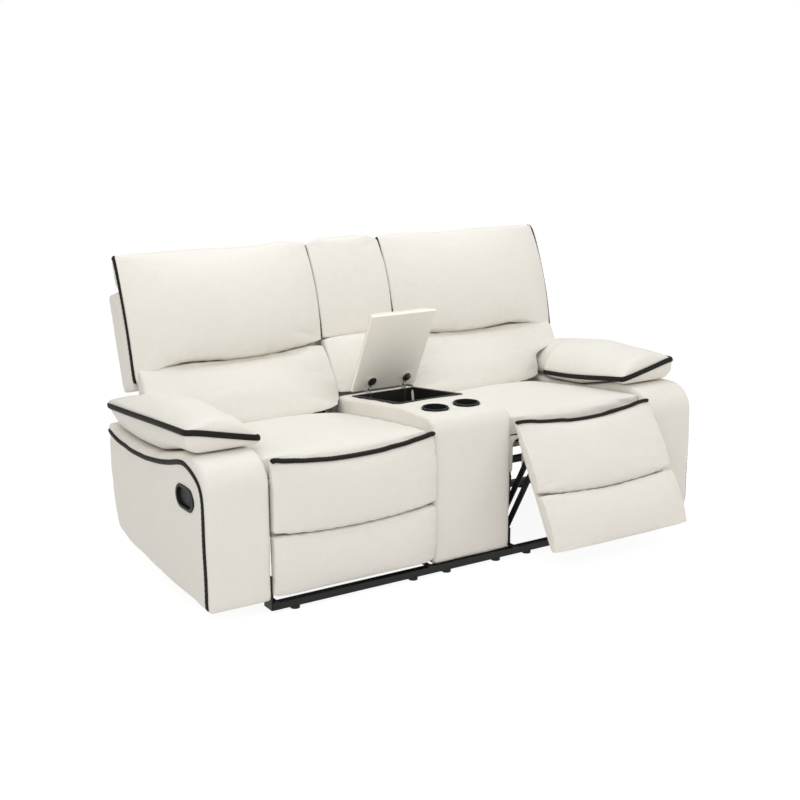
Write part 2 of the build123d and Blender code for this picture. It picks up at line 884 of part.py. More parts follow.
centre_shares = (-1, -0.9, -0.5, 0, 0.5, 0.9, 1)
with BuildPart() as centre_head:
    faces = []
    for share in centre_shares:
        arch = 1 - share ** 2
        tuck = tuck_depth * abs(share) ** 8
        thick = centre_head_edge + centre_bow * arch
        with BuildSketch(leaning(share * centre_half, back_origin, back_lean)) as face:
            with BuildLine():
                rear_low = (-fit_gap, centre_seam + tuck / 2)
                step = (-fit_gap, slab_top + fit_gap)
                over_low = (head_over - tuck, slab_top + head_edge / 2)
                over_top = (head_over - tuck, head_over_top - tuck)
                front_top = (-head_front_top, centre_head_top - tuck)
                front_low = (-thick, centre_seam + tuck / 2)
                Line(rear_low, step)
                Line(step, over_low)
                Line(over_low, over_top)
                SagittaArc(over_top, front_top, -tuck_depth)
                SagittaArc(front_top, front_low, -head_crown)
                Line(front_low, rear_low)
            make_face()
        faces.append(face.sketch)
    loft(faces)
save(centre_head, "centre_head_cushion")

centre_floor = console_rear_top + centre_bow
with BuildPart() as centre_lumbar:
    faces = []
    for share in centre_shares:
        arch = 1 - share ** 2
        tuck = tuck_depth * abs(share) ** 8
        low = centre_lumbar_bottom + centre_bow * arch - tuck
        base = (centre_floor - back_origin[1]) / math.cos(back_turn)
        with BuildSketch(leaning(share * centre_half, back_origin, back_lean)) as face:
            with BuildLine():
                rear_low = (-fit_gap, base)
                rear_top = (-fit_gap, centre_seam - 2 * lumbar_gap - tuck / 2)
                front_top = (-(centre_lumbar_top + centre_bow * arch - tuck), rear_top[1])
                front_low = (-low, base - low * math.tan(back_turn))
                Line(rear_low, rear_top)
                Line(rear_top, front_top)
                SagittaArc(front_top, front_low, -centre_bow)
                Line(front_low, rear_low)
            make_face()
        faces.append(face.sketch)
    loft(faces)
save(centre_lumbar, "centre_lumbar_cushion")

# Lid hinges: fixed arms in the bin, and cups with short arms that swing with the lid
hinge_drop_z = console_top - (hinge_y - console_flat_end) * math.tan(slope)
hinge_axis = (hinge_y, hinge_drop_z + hinge_rise / math.cos(slope))
lid_lean = deck_slope - upright_angle + lid_open
wall_ahead = (hinge_y - bin_mid) / math.cos(slope) - hinge_rise * math.tan(slope) - bin_length / 2 + bin_wall
hinge_top = lid_board - lid_seat - hinge_pin / 2


def lid_plane(x):
    """Side plane fixed to the lid: local X out of its upholstered top, local Y to its front."""
    return leaning(x, hinge_axis, lid_lean)


def hinge_eye_plate(plane, outline, bored):
    """A hinge leaf: its outline joined to a round eye on the pin's axis."""
    with BuildSketch(plane) as leaf:
        with BuildLine():
            Polyline(*outline, close=True)
        make_face()
        Circle(hinge_eye)
        if bored:
            Circle(hinge_pin + pin_clearance, mode=Mode.SUBTRACT)
    extrude(leaf.sketch, amount=hinge_plate)


arm_low = bin_frame_thick + fit_gap - hinge_rise
with BuildPart() as hinge_arms:
    for place in (hinge_left, hinge_right):
        hinge_eye_plate(
            leaning(place - hinge_plate / 2, hinge_axis, deck_slope - upright_angle),
            (
                (arm_low, 0), (arm_low, wall_ahead), (-hinge_rise - hinge_drop, wall_ahead),
                (-hinge_rise - hinge_drop, wall_ahead + hinge_arm),
                (hinge_top, wall_ahead + hinge_arm), (hinge_top, 0),
            ),
            True,
        )
save(hinge_arms, "lid_hinge_arms")

slot_end = lid_start + hinge_slot_length
leaf_low = -lid_seat - cup_boss_rise
with BuildPart() as hinge_cups:
    for place in (hinge_left, hinge_right):
        beside = place + hinge_plate / 2 + fit_gap
        hinge_eye_plate(
            lid_plane(beside),
            (
                (hinge_top, 0), (hinge_top, slot_end), (-lid_seat, slot_end),
                (-lid_seat, cup_boss_y), (leaf_low, cup_boss_y),
                (leaf_low, slot_end - hinge_plate), (hinge_pin - lid_seat, slot_end - hinge_plate),
                (hinge_pin - lid_seat, 0),
            ),
            False,
        )
        with BuildSketch(lid_plane(place - hinge_plate)):
            Circle(hinge_pin)
        extrude(amount=hinge_plate * 1.5 + fit_gap)
        boss = lid_plane(beside + hinge_plate / 2)
        with BuildSketch(Plane(
            origin=boss.from_local_coords((leaf_low, cup_boss_y, 0)), x_dir=(1, 0, 0), z_dir=boss.x_dir,
        )):
            Circle(cup_boss)
        extrude(amount=cup_boss_rise)
save(hinge_cups, "lid_hinge_cups")

# Lid: a thin lining board, slotted for the hinges, under a padded top
with BuildPart() as lid:
    with BuildSketch(lid_plane(-lid_width / 2)):
        with Locations((lid_board / 2 - lid_seat, lid_start + lid_length / 2)):
            Rectangle(lid_board, lid_length)
    extrude(amount=lid_width)
    for place in (hinge_left, hinge_right):
        with BuildSketch(lid_plane(place - hinge_plate / 2 - pin_clearance - hinge_plate / 2)):
            with Locations((lid_board / 2 - lid_seat, lid_start + hinge_slot_length / 2)):
                Rectangle(lid_board, hinge_slot_length)
        extrude(amount=hinge_slot, mode=Mode.SUBTRACT)
save(lid, "lid_board")

with BuildPart() as lid_top:
    faces = []
    for share in (-1, -0.9, 0, 0.9, 1):
        tuck = abs(share) ** 8
        with BuildSketch(lid_plane(share * lid_width / 2)) as face:
            with BuildLine():
                low = lid_board - lid_seat
                near = lid_start + lid_edge / 2 * tuck
                far = lid_start + lid_length - lid_edge / 2 * tuck
                high = low + lid_pad - lid_edge * (1 + tuck) / 2
                Line((low, far), (low, near))
                Line((low, near), (high, near))
                SagittaArc((high, near), (high, far), lid_edge * (1 + share ** 2) / 3)
                Line((high, far), (low, far))
            make_face()
        faces.append(face.sketch)
    loft(faces)
save(lid_top, "lid_pad")

# Arms: upholstered bodies with a big round front corner and a top that dips towards the rear
arm_shares = (
    (0, 0), (0, 1), (0.241, 1), (0.487, 0.889), (0.715, 0.863), (0.891, 0.867), (1, 0.909),
    (0.99, 0.565), (0.97, 0.322), (0.927, 0.122), (0.816, 0.067), (0.386, 0.016),
)
arm_points = [(arm_nose + s * arm_depth, arm_bottom + t * arm_height) for s, t in arm_shares]


def latch_plane(side):
    """Plane on an arm's outer cheek, centred on its latch and facing outwards."""
    return Plane(
        origin=(side * arm_outer, arm_front + latch_y, latch_z),
        x_dir=(0, 1, 0),
        z_dir=(side, 0, 0),
    )


cup_height = bezel_height - (bezel_length - cup_length)
for side, name in zip(sides, seats):
    with BuildPart() as arm:
        with BuildSketch(across(min(side * arm_inner, side * arm_outer))) as profile:
            with BuildLine():
                Polyline(*arm_points, close=True)
            make_face()
            fillet(profile.vertices().sort_by(Axis.X)[0:2].sort_by(Axis.Y)[-1], arm_corner)
        extrude(amount=arm_width)
        fillet(arm.edges().group_by(Axis.X)[-1 if side > 0 else 0], arm_edge)
        with BuildSketch(latch_plane(side)):
            SlotOverall(cup_length + 2 * fit_gap, cup_height + 2 * fit_gap)
        extrude(amount=-(latch_depth + fit_gap), mode=Mode.SUBTRACT)
    save(arm, name + "_arm")

# Arm pillows: pads on the arms' tops, crowned above, their edges curled up off the arm.
# Each row is depth, arm top, outer edge low and high, inner edge low and high, crown, and
# how far the inner edge steps out past the seat's back.
pillow_shares = (
    (0.14, 1, 1.071, 1.186, 1.016, 1.075, 0.3, 0),
    (0.165, 1, 1.05, 1.18, 1.012, 1.07, 0.62, 0),
    (0.241, 1, 1.035, 1.17, 1.008, 1.05, 0.8, 0),
    (0.487, 0.889, 0.975, 1.135, 0.945, 0.985, 1, 0),
    (0.715, 0.863, 0.955, 1.1, 0.91, 0.945, 0.85, 0),
    (0.75, 0.864, 0.958, 1.095, 0.915, 0.95, 0.75, 1),
    (0.891, 0.867, 0.98, 1.075, 0.892, 0.916, 0.5, 1),
    (0.97, 0.8974, 1.027, 1.058, 0.915, 0.935, 0.2, 1),
)


def pillow_depth(row):
    """Depth of a pillow station behind the arm fronts."""
    return arm_nose + row[0] * arm_depth


def arm_level(share):
    """Height from the floor of a share of the arm's height."""
    return arm_bottom + share * arm_height


for side, name in zip(sides, seats):
    with BuildPart() as pillow:
        faces = []
        for row in reversed(pillow_shares):
            top, outer_low, outer_high, inner_low, inner_high = (arm_level(share) for share in row[1:6])
            with BuildSketch(facing(pillow_depth(row))) as face:
                with BuildLine():
                    crown_start = (side * pillow_outer, outer_high)
                    inner = pillow_inner + row[7] * pillow_step
                    crown_end = (side * inner, inner_high)
                    SagittaArc(crown_start, crown_end, -side * pillow_crown * row[6])
                    Polyline(
                        crown_end, (side * inner, inner_low),
                        (side * (inner + pillow_foot), top + fit_gap),
                        (side * (pillow_outer - pillow_foot), top + fit_gap),
                        (side * pillow_outer, outer_low), crown_start,
                    )
                make_face()
            faces.append(face.sketch)
        loft(faces, ruled=True)
    save(pillow, name + "_arm_pillow")

# Dark bands along the pillows' outer, front and inner seams
with BuildPart() as pillow_trims:
    for side in sides:
        for place, column, last in ((pillow_outer, 3, 8), (pillow_inner - piping_thick, 5, 5)):
            with BuildSketch(across(min(side * place, side * (place + piping_thick)))):
                with BuildLine():
                    Polyline(*[
                        (pillow_depth(row), arm_level(row[column]) - pillow_band / 2)
                        for row in pillow_shares[:last]
                    ])
                trace(line_width=pillow_band)
            extrude(amount=piping_thick)
        with BuildSketch(facing(pillow_depth(pillow_shares[0]))):
            with BuildLine():
                Line(
                    (side * pillow_inner, arm_level(pillow_shares[0][5]) - pillow_band / 2),
                    (side * pillow_outer, arm_level(pillow_shares[0][3]) - pillow_band / 2),
                )
            trace(line_width=pillow_band)
        extrude(amount=piping_thick)
save(pillow_trims, "pillow_trims")

# Dark piping on the arms' outer cheeks: along the dipping top and down the front edge
trim_shares = (
    (0.99, 0.851), (0.851, 0.814), (0.653, 0.809), (0.523, 0.829), (0.369, 0.876), (0.227, 0.94),
    (0.164, 0.94), (0.111, 0.918), (0.062, 0.87), (0.035, 0.794), (0.027, 0.65), (0.024, 0.014),
)
with BuildPart() as arm_trims:
    for side in sides:
        with BuildSketch(across(min(side * arm_outer, side * (arm_outer + piping_thick)))):
            with BuildLine():
                Polyline(*[(arm_nose + s * arm_depth, arm_level(t)) for s, t in trim_shares])
            trace(line_width=pillow_band)
        extrude(amount=piping_thick)
save(arm_trims, "arm_trims")

# Pull latches on the outer cheeks: an oval bezel with a cup, and a sprung paddle on a pin
with BuildPart() as bezels:
    for side in sides:
        cheek = latch_plane(side)
        with BuildSketch(cheek):
            SlotOverall(bezel_length, bezel_height)
        extrude(amount=bezel_lip, taper=bezel_lip * 10)
        with BuildSketch(cheek):
            SlotOverall(cup_length, cup_height)
        extrude(amount=-latch_depth)
        with BuildSketch(cheek.offset(bezel_lip)):
            SlotOverall(cup_length - 2 * latch_wall, cup_height - 2 * latch_wall)
        extrude(amount=-(bezel_lip + latch_depth - latch_wall), mode=Mode.SUBTRACT)
save(bezels, "latch_bezels")

paddle_length = cup_length - 2 * latch_wall - 2 * paddle_gap
paddle_height = cup_height - 2 * latch_wall - 2 * paddle_gap
for side, name in zip(sides, seats):
    with BuildPart() as paddle:
        with BuildSketch(latch_plane(side).offset(-paddle_inset)):
            SlotOverall(paddle_length, paddle_height)
            with Locations((paddle_pin_x - paddle_stub - paddle_length / 2, 0)):
                Rectangle(paddle_length, paddle_height, mode=Mode.SUBTRACT)
        extrude(amount=paddle_thick / 2, both=True)
        pin_height = cup_height - 2 * latch_wall - 2 * fit_gap
        with BuildSketch(level(latch_z - pin_height / 2)):
            with Locations((side * (arm_outer - paddle_inset), latch_y + paddle_pin_x)):
                Circle(paddle_pin)
        extrude(amount=pin_height)
    save(paddle, name + "_latch_paddle")
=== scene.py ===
# %% [markdown]
# # A reclining loveseat in ivory leather
#
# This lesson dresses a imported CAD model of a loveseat: two reclining seats with a console
# between them. The CAD model gives every size and every joint. Blender adds what CAD does
# badly: swollen leather, puckered seams, round piping and finishes that catch the light.
#
# The first cell loads the CAD model as a frame. Nothing in it may be moved, so each new
# piece is made in the same place and is told which body of the frame it rides on.

import json
import math
from collections import namedtuple

import bmesh
import bpy
import numpy as np
from mathutils.bvhtree import BVHTree
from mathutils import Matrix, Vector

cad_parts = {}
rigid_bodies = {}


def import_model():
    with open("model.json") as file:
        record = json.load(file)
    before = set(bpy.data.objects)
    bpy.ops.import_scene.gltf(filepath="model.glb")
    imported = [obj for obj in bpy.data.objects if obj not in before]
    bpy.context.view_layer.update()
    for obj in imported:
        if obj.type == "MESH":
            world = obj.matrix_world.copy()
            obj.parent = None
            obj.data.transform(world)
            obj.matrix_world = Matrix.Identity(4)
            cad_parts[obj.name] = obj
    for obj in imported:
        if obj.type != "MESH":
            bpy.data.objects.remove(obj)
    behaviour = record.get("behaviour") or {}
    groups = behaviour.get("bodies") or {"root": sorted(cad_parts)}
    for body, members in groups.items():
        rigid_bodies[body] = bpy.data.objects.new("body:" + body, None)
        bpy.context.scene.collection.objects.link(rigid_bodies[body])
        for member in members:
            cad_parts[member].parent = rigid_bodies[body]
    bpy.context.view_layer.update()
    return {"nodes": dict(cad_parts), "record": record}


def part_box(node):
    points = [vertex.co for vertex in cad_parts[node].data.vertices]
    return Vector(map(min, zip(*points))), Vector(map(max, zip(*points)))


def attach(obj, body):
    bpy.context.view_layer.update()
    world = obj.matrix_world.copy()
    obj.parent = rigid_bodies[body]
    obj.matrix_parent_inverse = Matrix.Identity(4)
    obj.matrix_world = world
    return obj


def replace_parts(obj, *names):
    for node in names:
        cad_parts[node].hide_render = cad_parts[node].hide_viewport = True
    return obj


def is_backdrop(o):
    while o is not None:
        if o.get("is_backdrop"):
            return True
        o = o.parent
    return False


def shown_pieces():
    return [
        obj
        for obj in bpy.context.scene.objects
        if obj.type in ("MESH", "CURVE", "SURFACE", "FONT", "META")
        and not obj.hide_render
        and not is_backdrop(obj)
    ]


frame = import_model()
scene = bpy.context.scene

# %% [markdown]
# ## Numbers in and out of a mesh
#
# Blender's meshes hand over their points as one flat list. Short helpers turn it into a numpy
# array and back, so that every later step can bend thousands of points in one line.

# %% Points of a mesh as an array
def points_of(mesh):
    """The mesh's points as an array with a row for each point."""
    flat = np.empty(len(mesh.vertices) * 3)
    mesh.vertices.foreach_get("co", flat)
    return flat.reshape(-1, 3)


def normals_of(mesh):
    """The outward direction at each point, as an array with a row for each point."""
    flat = np.empty(len(mesh.vertices) * 3, np.float32)
    mesh.vertex_normals.foreach_get("vector", flat)
    return flat.reshape(-1, 3).astype(float)


def put_points(mesh, points):
    """Writes the array's rows back into the mesh."""
    mesh.vertices.foreach_set("co", points.ravel())
    mesh.update()


def settle(piece):
    """Keeps the shape that the modifiers give and takes the modifiers off."""
    graph = bpy.context.evaluated_depsgraph_get()
    graph.update()
    piece.data = bpy.data.meshes.new_from_object(piece.evaluated_get(graph))
    piece.modifiers.clear()


def smooth_step(value):
    """Runs from 0 to 1 with level ends: three times the square less twice the cube."""
    t = np.clip(value, 0, 1)
    return t * t * (3 - 2 * t)


def ramp(value, start, reach):
    """Runs from 0 where the value is at the start to 1 where it is a reach further on."""
    return smooth_step((value - start) / reach)


# %% [markdown]
# ## A curve through a few measured points
#
# Seams and piping follow lines that were measured at only a few places. A Catmull-Rom curve
# passes through all of them: between two points it is the cubic whose slope at each is half
# the step between that point's neighbours.

# %% Curves through points
line_step = 0.004


def curve_through(knots, per_gap=24):
    """Catmull-Rom curve through the knots, sampled anew at equal steps of length."""
    knots = np.asarray(knots, float)
    ends = [2 * knots[0] - knots[1], *knots, 2 * knots[-1] - knots[-2]]
    a, b, c, d = (np.array(ends[i : len(ends) - 3 + i])[:, None] for i in range(4))
    t = np.linspace(0, 1, per_gap, endpoint=False)[None, :, None]
    cubic = b + 0.5 * t * (c - a + t * (2 * a - 5 * b + 4 * c - d + t * (3 * (b - c) + d - a)))
    return even_steps(np.vstack([cubic.reshape(-1, 3), knots[-1]]))


def even_steps(path):
    """The path's points moved along it until their gaps are equal, near the line step."""
    run = np.r_[0, np.cumsum(np.linalg.norm(np.diff(path, axis=0), axis=1))]
    at = np.linspace(0, run[-1], max(3, int(run[-1] / line_step) + 1))
    return np.stack([np.interp(at, run, path[:, i]) for i in range(3)], axis=1)


def eased(path, times):
    """Each inner point drawn to the mean of its neighbours and twice itself, so many times."""
    path = path.copy()
    for _ in range(times):
        path[1:-1] = (path[:-2] + 2 * path[1:-1] + path[2:]) / 4
    return path


# %% [markdown]
# ## Surfaces from a grid
#
# A new piece is a grid of points, with one index that runs along it and one round it. Its
# faces then need no thought: each joins four neighbours of the grid.

# %% A mesh from a grid of points
def surface(name, grid, tube=False):
    """Joins neighbours of the grid by faces; a tube's rows are rings, and its ends are capped."""
    rows, columns = grid.shape[:2]
    i, j = np.meshgrid(np.arange(rows - 1), np.arange(columns - (not tube)), indexing="ij")
    k, m = i + 1, (j + 1) % columns
    quads = np.stack([i * columns + j, i * columns + m, k * columns + m, k * columns + j], -1)
    faces = quads.reshape(-1, 4).tolist()
    if tube:
        faces.append(list(range(columns))[::-1])
        faces.append(list(range((rows - 1) * columns, rows * columns)))
    mesh = bpy.data.meshes.new(name)
    mesh.from_pydata(grid.reshape(-1, 3).tolist(), [], faces)
    shell = bmesh.new()
    shell.from_mesh(mesh)
    bmesh.ops.recalc_face_normals(shell, faces=shell.faces)
    shell.to_mesh(mesh)
    shell.free()
    mesh.polygons.foreach_set("use_smooth", np.ones(len(mesh.polygons), bool))
    piece = bpy.data.objects.new(name, mesh)
    scene.collection.objects.link(piece)
    return piece


def carried(name, path, outward, width, height, sides=12, end_shares=(0.35, 0.75, 0.95)):
    """An oval carried along a path: width across it, height outwards, narrowed at both ends."""
    along = np.gradient(path, axis=0)
    along /= np.linalg.norm(along, axis=1)[:, None]
    across = np.cross(along, outward)
    across /= np.linalg.norm(across, axis=1)[:, None]
    up = np.cross(across, along)
    turn = np.linspace(0, 2 * np.pi, sides, endpoint=False)
    narrow = np.ones(len(path))
    narrow[:3] = narrow[-3:][::-1] = end_shares
    oval = (
        np.cos(turn)[None, :, None] * across[:, None] * width / 2
        + np.sin(turn)[None, :, None] * up[:, None] * height / 2
    )
    rings = path[:, None] + oval * narrow[:, None, None]
    return surface(name, rings, tube=True)


# %% [markdown]
# ## Finishes as sums
#
# A procedural finish is arithmetic on patterns. This wrapper lets Python's own signs add the
# Math nodes, so a line such as `0.4 + 0.1 * grain` reads as what it means. Every other node
# comes from one method, which sets the node up first and then fills its sockets.

# %% Sockets that can be added and multiplied
class Field:
    """A node's output that varies over a surface."""

    def __init__(self, tree, socket):
        self.tree, self.socket = tree, socket

    def math(self, operation, first, second):
        """A Math node that joins two fields or numbers."""
        return self.tree.node("ShaderNodeMath", {0: first, 1: second}, operation=operation)

    def __add__(self, other):
        return self.math("ADD", self, other)

    def __sub__(self, other):
        return self.math("SUBTRACT", self, other)

    def __rsub__(self, other):
        return self.math("SUBTRACT", other, self)

    def __mul__(self, other):
        return self.math("MULTIPLY", self, other)

    __radd__ = __add__
    __rmul__ = __mul__


class Tree:
    """The nodes of a material or of the sky, which start out empty."""

    def __init__(self, owner):
        owner.use_nodes = True
        self.nodes, self.links = owner.node_tree.nodes, owner.node_tree.links
        self.nodes.clear()

    def node(self, kind, values=None, out=0, stops=None, **settings):
        """Adds a node: its settings, then the value or link of each socket."""
        made = self.nodes.new(kind)
        for key, value in settings.items():
            setattr(made, key, value)
        if stops:
            marks = made.color_ramp.elements
            for place, (at, colour) in enumerate(stops):
                mark = marks[place] if place < 2 else marks.new(at)
                mark.position, mark.color = at, (*colour, 1)
        for key, value in (values or {}).items():
            if isinstance(value, Field):
                self.links.new(value.socket, made.inputs[key])
            else:
                made.inputs[key].default_value = value
        return Field(self, made.outputs[out]) if made.outputs else None


class Finish(Tree):
    """One material: a node tree with a glossy body whose sockets take numbers or fields."""

    def __init__(self, name, slot=None):
        self.slot = slot
        self.material = bpy.data.materials.new(name)
        super().__init__(self.material)

    def place(self):
        """Where each point lies in the object's own metres."""
        return self.node("ShaderNodeTexCoord", out="Object")

    def stretched(self, x, y, z):
        """The object's own place with each direction drawn out or pressed together."""
        return self.node("ShaderNodeMapping", {"Vector": self.place(), "Scale": (x, y, z)})

    def noise(self, scale, detail=3, at=None):
        """Cloudy noise of so many lumps to the metre, between 0 and 1."""
        values = {"Vector": at or self.place(), "Scale": scale, "Detail": detail}
        return self.node("ShaderNodeTexNoise", values)

    def blend(self, share, one, other):
        """A colour that runs from one to the other; a Mix node's colours are sockets 6 and 7."""
        values = {0: share, 6: (*one, 1), 7: (*other, 1)}
        return self.node("ShaderNodeMix", values, out=2, data_type="RGBA")

    def bump(self, height, depth, under=None):
        """Bends the light as a relief of this height field and depth in metres would."""
        values = {"Height": height, "Distance": depth, "Strength": 1}
        if under:
            values["Normal"] = under
        return self.node("ShaderNodeBump", values)

    def body(self, **values):
        """The Principled shader, with spaces in its socket names written as underscores."""
        named = {key.replace("_", " "): value for key, value in values.items()}
        shader = self.node("ShaderNodeBsdfPrincipled", named)
        self.node("ShaderNodeOutputMaterial", {"Surface": shader})
        return self


# %% [markdown]
# ## The leather
#
# Upholstery leather is coloured through and lightly coated. Close up it shows a fine pebble
# grain, which is the edge pattern of Voronoi cells a little over a millimetre wide. From
# further off it shows softer lumps where the hide is thicker, and its gloss varies slightly.
# One function makes both hides, the ivory covers and the near-black piping.

# %% Leather
pebble_count, pebble_depth = 620, 0.00016
drag_depth, lump_depth = 0.0011, 0.004


def leather(name, slot, pale, deep, gloss, shine=0.5):
    """Pebbled hide: cell edges pressed in, over slow lumps, with a faintly uneven colour."""
    hide = Finish(name, slot)
    cells = hide.node(
        "ShaderNodeTexVoronoi", {"Vector": hide.place(), "Scale": pebble_count},
        feature="DISTANCE_TO_EDGE",
    )
    pebble = hide.node("ShaderNodeMapRange", {"Value": cells, "From Max": 0.22})
    lumps = hide.noise(9, 2)
    drag = hide.noise(46, 3)
    relief = hide.bump(pebble * 0.7 + hide.noise(1900, 2) * 0.3, pebble_depth)
    relief = hide.bump(drag, drag_depth, relief)
    return hide.body(
        Base_Color=hide.blend(0.35 * lumps + 0.5 * drag + 0.15 * pebble, deep, pale),
        Roughness=gloss + 0.14 * drag - 0.05 * pebble,
        Specular_IOR_Level=shine,
        Normal=hide.bump(lumps, lump_depth, relief),
    )


ivory_pale, ivory_deep = (0.878, 0.855, 0.806), (0.795, 0.768, 0.712)
black_pale, black_deep = (0.013, 0.012, 0.01), (0.006, 0.005, 0.004)
ivory = leather("ivory_leather", "cover", ivory_pale, ivory_deep, gloss=0.42)
piping_hide = leather("piping_leather", "band", black_pale, black_deep, gloss=0.55, shine=0.22)
print("hides:", ivory.material.name, piping_hide.material.name)

# %% [markdown]
# ## Metal, plastic, timber and lining
#
# The mechanism is pressed steel under a black powder coat, which dries with a faint orange
# peel. The hinges are plated and brushed, the springs are oiled wire. The bin, cups and latch
# are moulded with a spark-eroded texture. The footrest boards are plywood under their leather,
# whose grain is noise stretched along them, and the lid's underside is lined with a weave.

# %% Hard finishes
def coated(name, slot, colour, gloss, lumps, depth):
    """A paint or plastic skin with a fine relief and a gloss that varies with it."""
    skin = Finish(name, slot)
    fine = skin.noise(lumps, 3)
    wide = skin.noise(22, 4)
    dusty = tuple(2.1 * c + 0.006 for c in colour)
    return skin.body(
        Base_Color=skin.blend(0.55 * wide * wide, colour, dusty),
        Roughness=gloss + 0.16 * wide,
        Specular_IOR_Level=0.28,
        Normal=skin.bump(fine, depth),
    )


def metal(name, slot, colour, gloss, brush):
    """Bare metal: fine scratches in one direction over slow clouds in the polish."""
    bare = Finish(name, slot)
    scratches = bare.noise(900, 2, bare.stretched(*brush))
    clouds = bare.noise(30, 3)
    dull = tuple(0.7 * c for c in colour)
    return bare.body(
        Base_Color=bare.blend(clouds, dull, colour),
        Metallic=1.0,
        Roughness=gloss + 0.12 * scratches + 0.1 * clouds,
        Normal=bare.bump(scratches, 0.00005),
    )


def plywood(name, slot):
    """Sawn veneer: long streaks of noise drive the colour between two browns."""
    wood = Finish(name, slot)
    streaks = wood.noise(38, 4, wood.stretched(0.12, 1, 1))
    pores = wood.noise(420, 2, wood.stretched(0.06, 1, 1))
    tone = wood.node(
        "ShaderNodeValToRGB",
        {0: streaks},
        stops=((0.3, (0.36, 0.235, 0.125)), (0.7, (0.6, 0.44, 0.27)), (0.5, (0.5, 0.35, 0.2))),
    )
    return wood.body(
        Base_Color=tone,
        Roughness=0.62 + 0.2 * pores,
        Normal=wood.bump(pores + streaks, 0.0003),
    )


def woven(name, slot, pale, deep):
    """Plain weave: the mean of two waves, one across and one aslant."""
    cloth = Finish(name, slot)
    warp, weft = (
        cloth.node(
            "ShaderNodeTexWave", {"Vector": cloth.place(), "Scale": 190}, out=1, bands_direction=way
        )
        for way in ("X", "DIAGONAL")
    )
    threads = warp * 0.5 + weft * 0.5
    return cloth.body(
        Base_Color=cloth.blend(0.6 * threads + 0.4 * cloth.noise(30), deep, pale),
        Roughness=0.85,
        Normal=cloth.bump(threads, 0.0002),
    )


powder = coated(
    "black_powder_coat", "steel", (0.009, 0.009, 0.009), gloss=0.36, lumps=520, depth=0.00007
)
moulded = coated(
    "moulded_black", "plastic", (0.01, 0.01, 0.01), gloss=0.42, lumps=1500, depth=0.00003
)
rubber = coated(
    "glide_black", "glide", (0.012, 0.012, 0.012), gloss=0.5, lumps=900, depth=0.00005
)
plated = metal("plated_steel", "hinge", (0.9, 0.89, 0.87), gloss=0.12, brush=(1, 0.06, 1))
wire = metal("oiled_wire", "spring", (0.3, 0.3, 0.31), gloss=0.34, brush=(1, 0.1, 1))
timber = plywood("plywood", "timber")
lining = woven("pale_lining", "lining", (0.98, 0.955, 0.88), (0.9, 0.87, 0.8))
in_use = (ivory, piping_hide, powder, moulded, rubber, plated, wire, timber, lining)
finishes = {finish.slot: finish for finish in in_use}
print("finishes:", sorted(finishes))


# %% Each CAD node takes its finish
def dress(piece, finish, body=None):
    """Gives a piece its finish, and hangs it on its body."""
    piece.data.materials.clear()
    piece.data.materials.append(finish.material)
    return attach(piece, body) if body else piece


slots = {part["node"]: part["material_slot"] for part in frame["record"]["subparts"]}
for node, slot_name in slots.items():
    dress(frame["nodes"][node], finishes[slot_name])
print("dressed nodes:", len(slots))

# %% [markdown]
# ## Where things are
#
# The seams below are placed by the same measures as the CAD model: depths count from the
# arm fronts, and the backs have their own leaning panel, with one measure out from the slab
# and one up along it. The footrest panel turns as its linkage opens: the drive links carry
# the carry links, and the angles say in degrees how far each leans when the footrest is shut.

# %% Measures shared with the CAD model, in metres
arm_front = -0.345
lean = math.radians(17.5)
slab_depth, slab_height = 0.739, 0.570
head_inner, head_width = 0.157, 0.711
seat_middle = {"left": -0.4485, "right": 0.4485}
mirror = {"left": -1, "right": 1}
seat_half = 0.2885
drive_pivot_depth, drive_pivot_height = 0.074, 0.262
drive_length, carry_length = 0.197, 0.2615
drive_angle, carry_angle = 35.8, 29.6
rest_angle = {"left": 0, "right": 30}


def on_back(x, out, up):
    """Points of a leaning back: out from the slab's front face and up along it."""
    x, out, up = np.broadcast_arrays(x, out, up)
    y = arm_front + slab_depth + out * math.cos(lean) + up * math.sin(lean)
    return np.stack([x, y, slab_height - out * math.sin(lean) + up * math.cos(lean)], -1)


def in_back(points):
    """The same measures read from points: place across, out from the slab, up along it."""
    y, z = points[:, 1] - arm_front - slab_depth, points[:, 2] - slab_height
    out = y * math.cos(lean) - z * math.sin(lean)
    return points[:, 0], out, y * math.sin(lean) + z * math.cos(lean)


def footrest_pivot(opened):
    """Depth and height of the carry links' upper pivot when the footrest has turned so far."""
    swing = math.radians(opened - drive_angle)
    rise = math.radians(carry_angle)
    return (
        drive_pivot_depth - drive_length * math.sin(swing) - carry_length * math.sin(rise),
        drive_pivot_height - drive_length * math.cos(swing) + carry_length * math.cos(rise),
    )


def on_footrest(name, x, y, z):
    """Points of the closed footrest, turned and carried to where it is at rest."""
    turn = math.radians(rest_angle[name])
    start, now = footrest_pivot(0), footrest_pivot(rest_angle[name])
    x, dy, dz = np.broadcast_arrays(x, np.asarray(y) - start[0], np.asarray(z) - start[1])
    return np.stack(
        [
            x,
            arm_front + now[0] + dy * math.cos(turn) + dz * math.sin(turn),
            now[1] - dy * math.sin(turn) + dz * math.cos(turn),
        ],
        -1,
    )


def off_footrest(name, points):
    """Depth and height of the same points when the footrest is closed."""
    turn = math.radians(rest_angle[name])
    start, now = footrest_pivot(0), footrest_pivot(rest_angle[name])
    y, z = points[:, 1] - arm_front - now[0], points[:, 2] - now[1]
    return (
        start[0] + y * math.cos(turn) - z * math.sin(turn),
        start[1] + y * math.sin(turn) + z * math.cos(turn),
    )


print("footrest pivots:", [footrest_pivot(angle) for angle in rest_angle.values()])

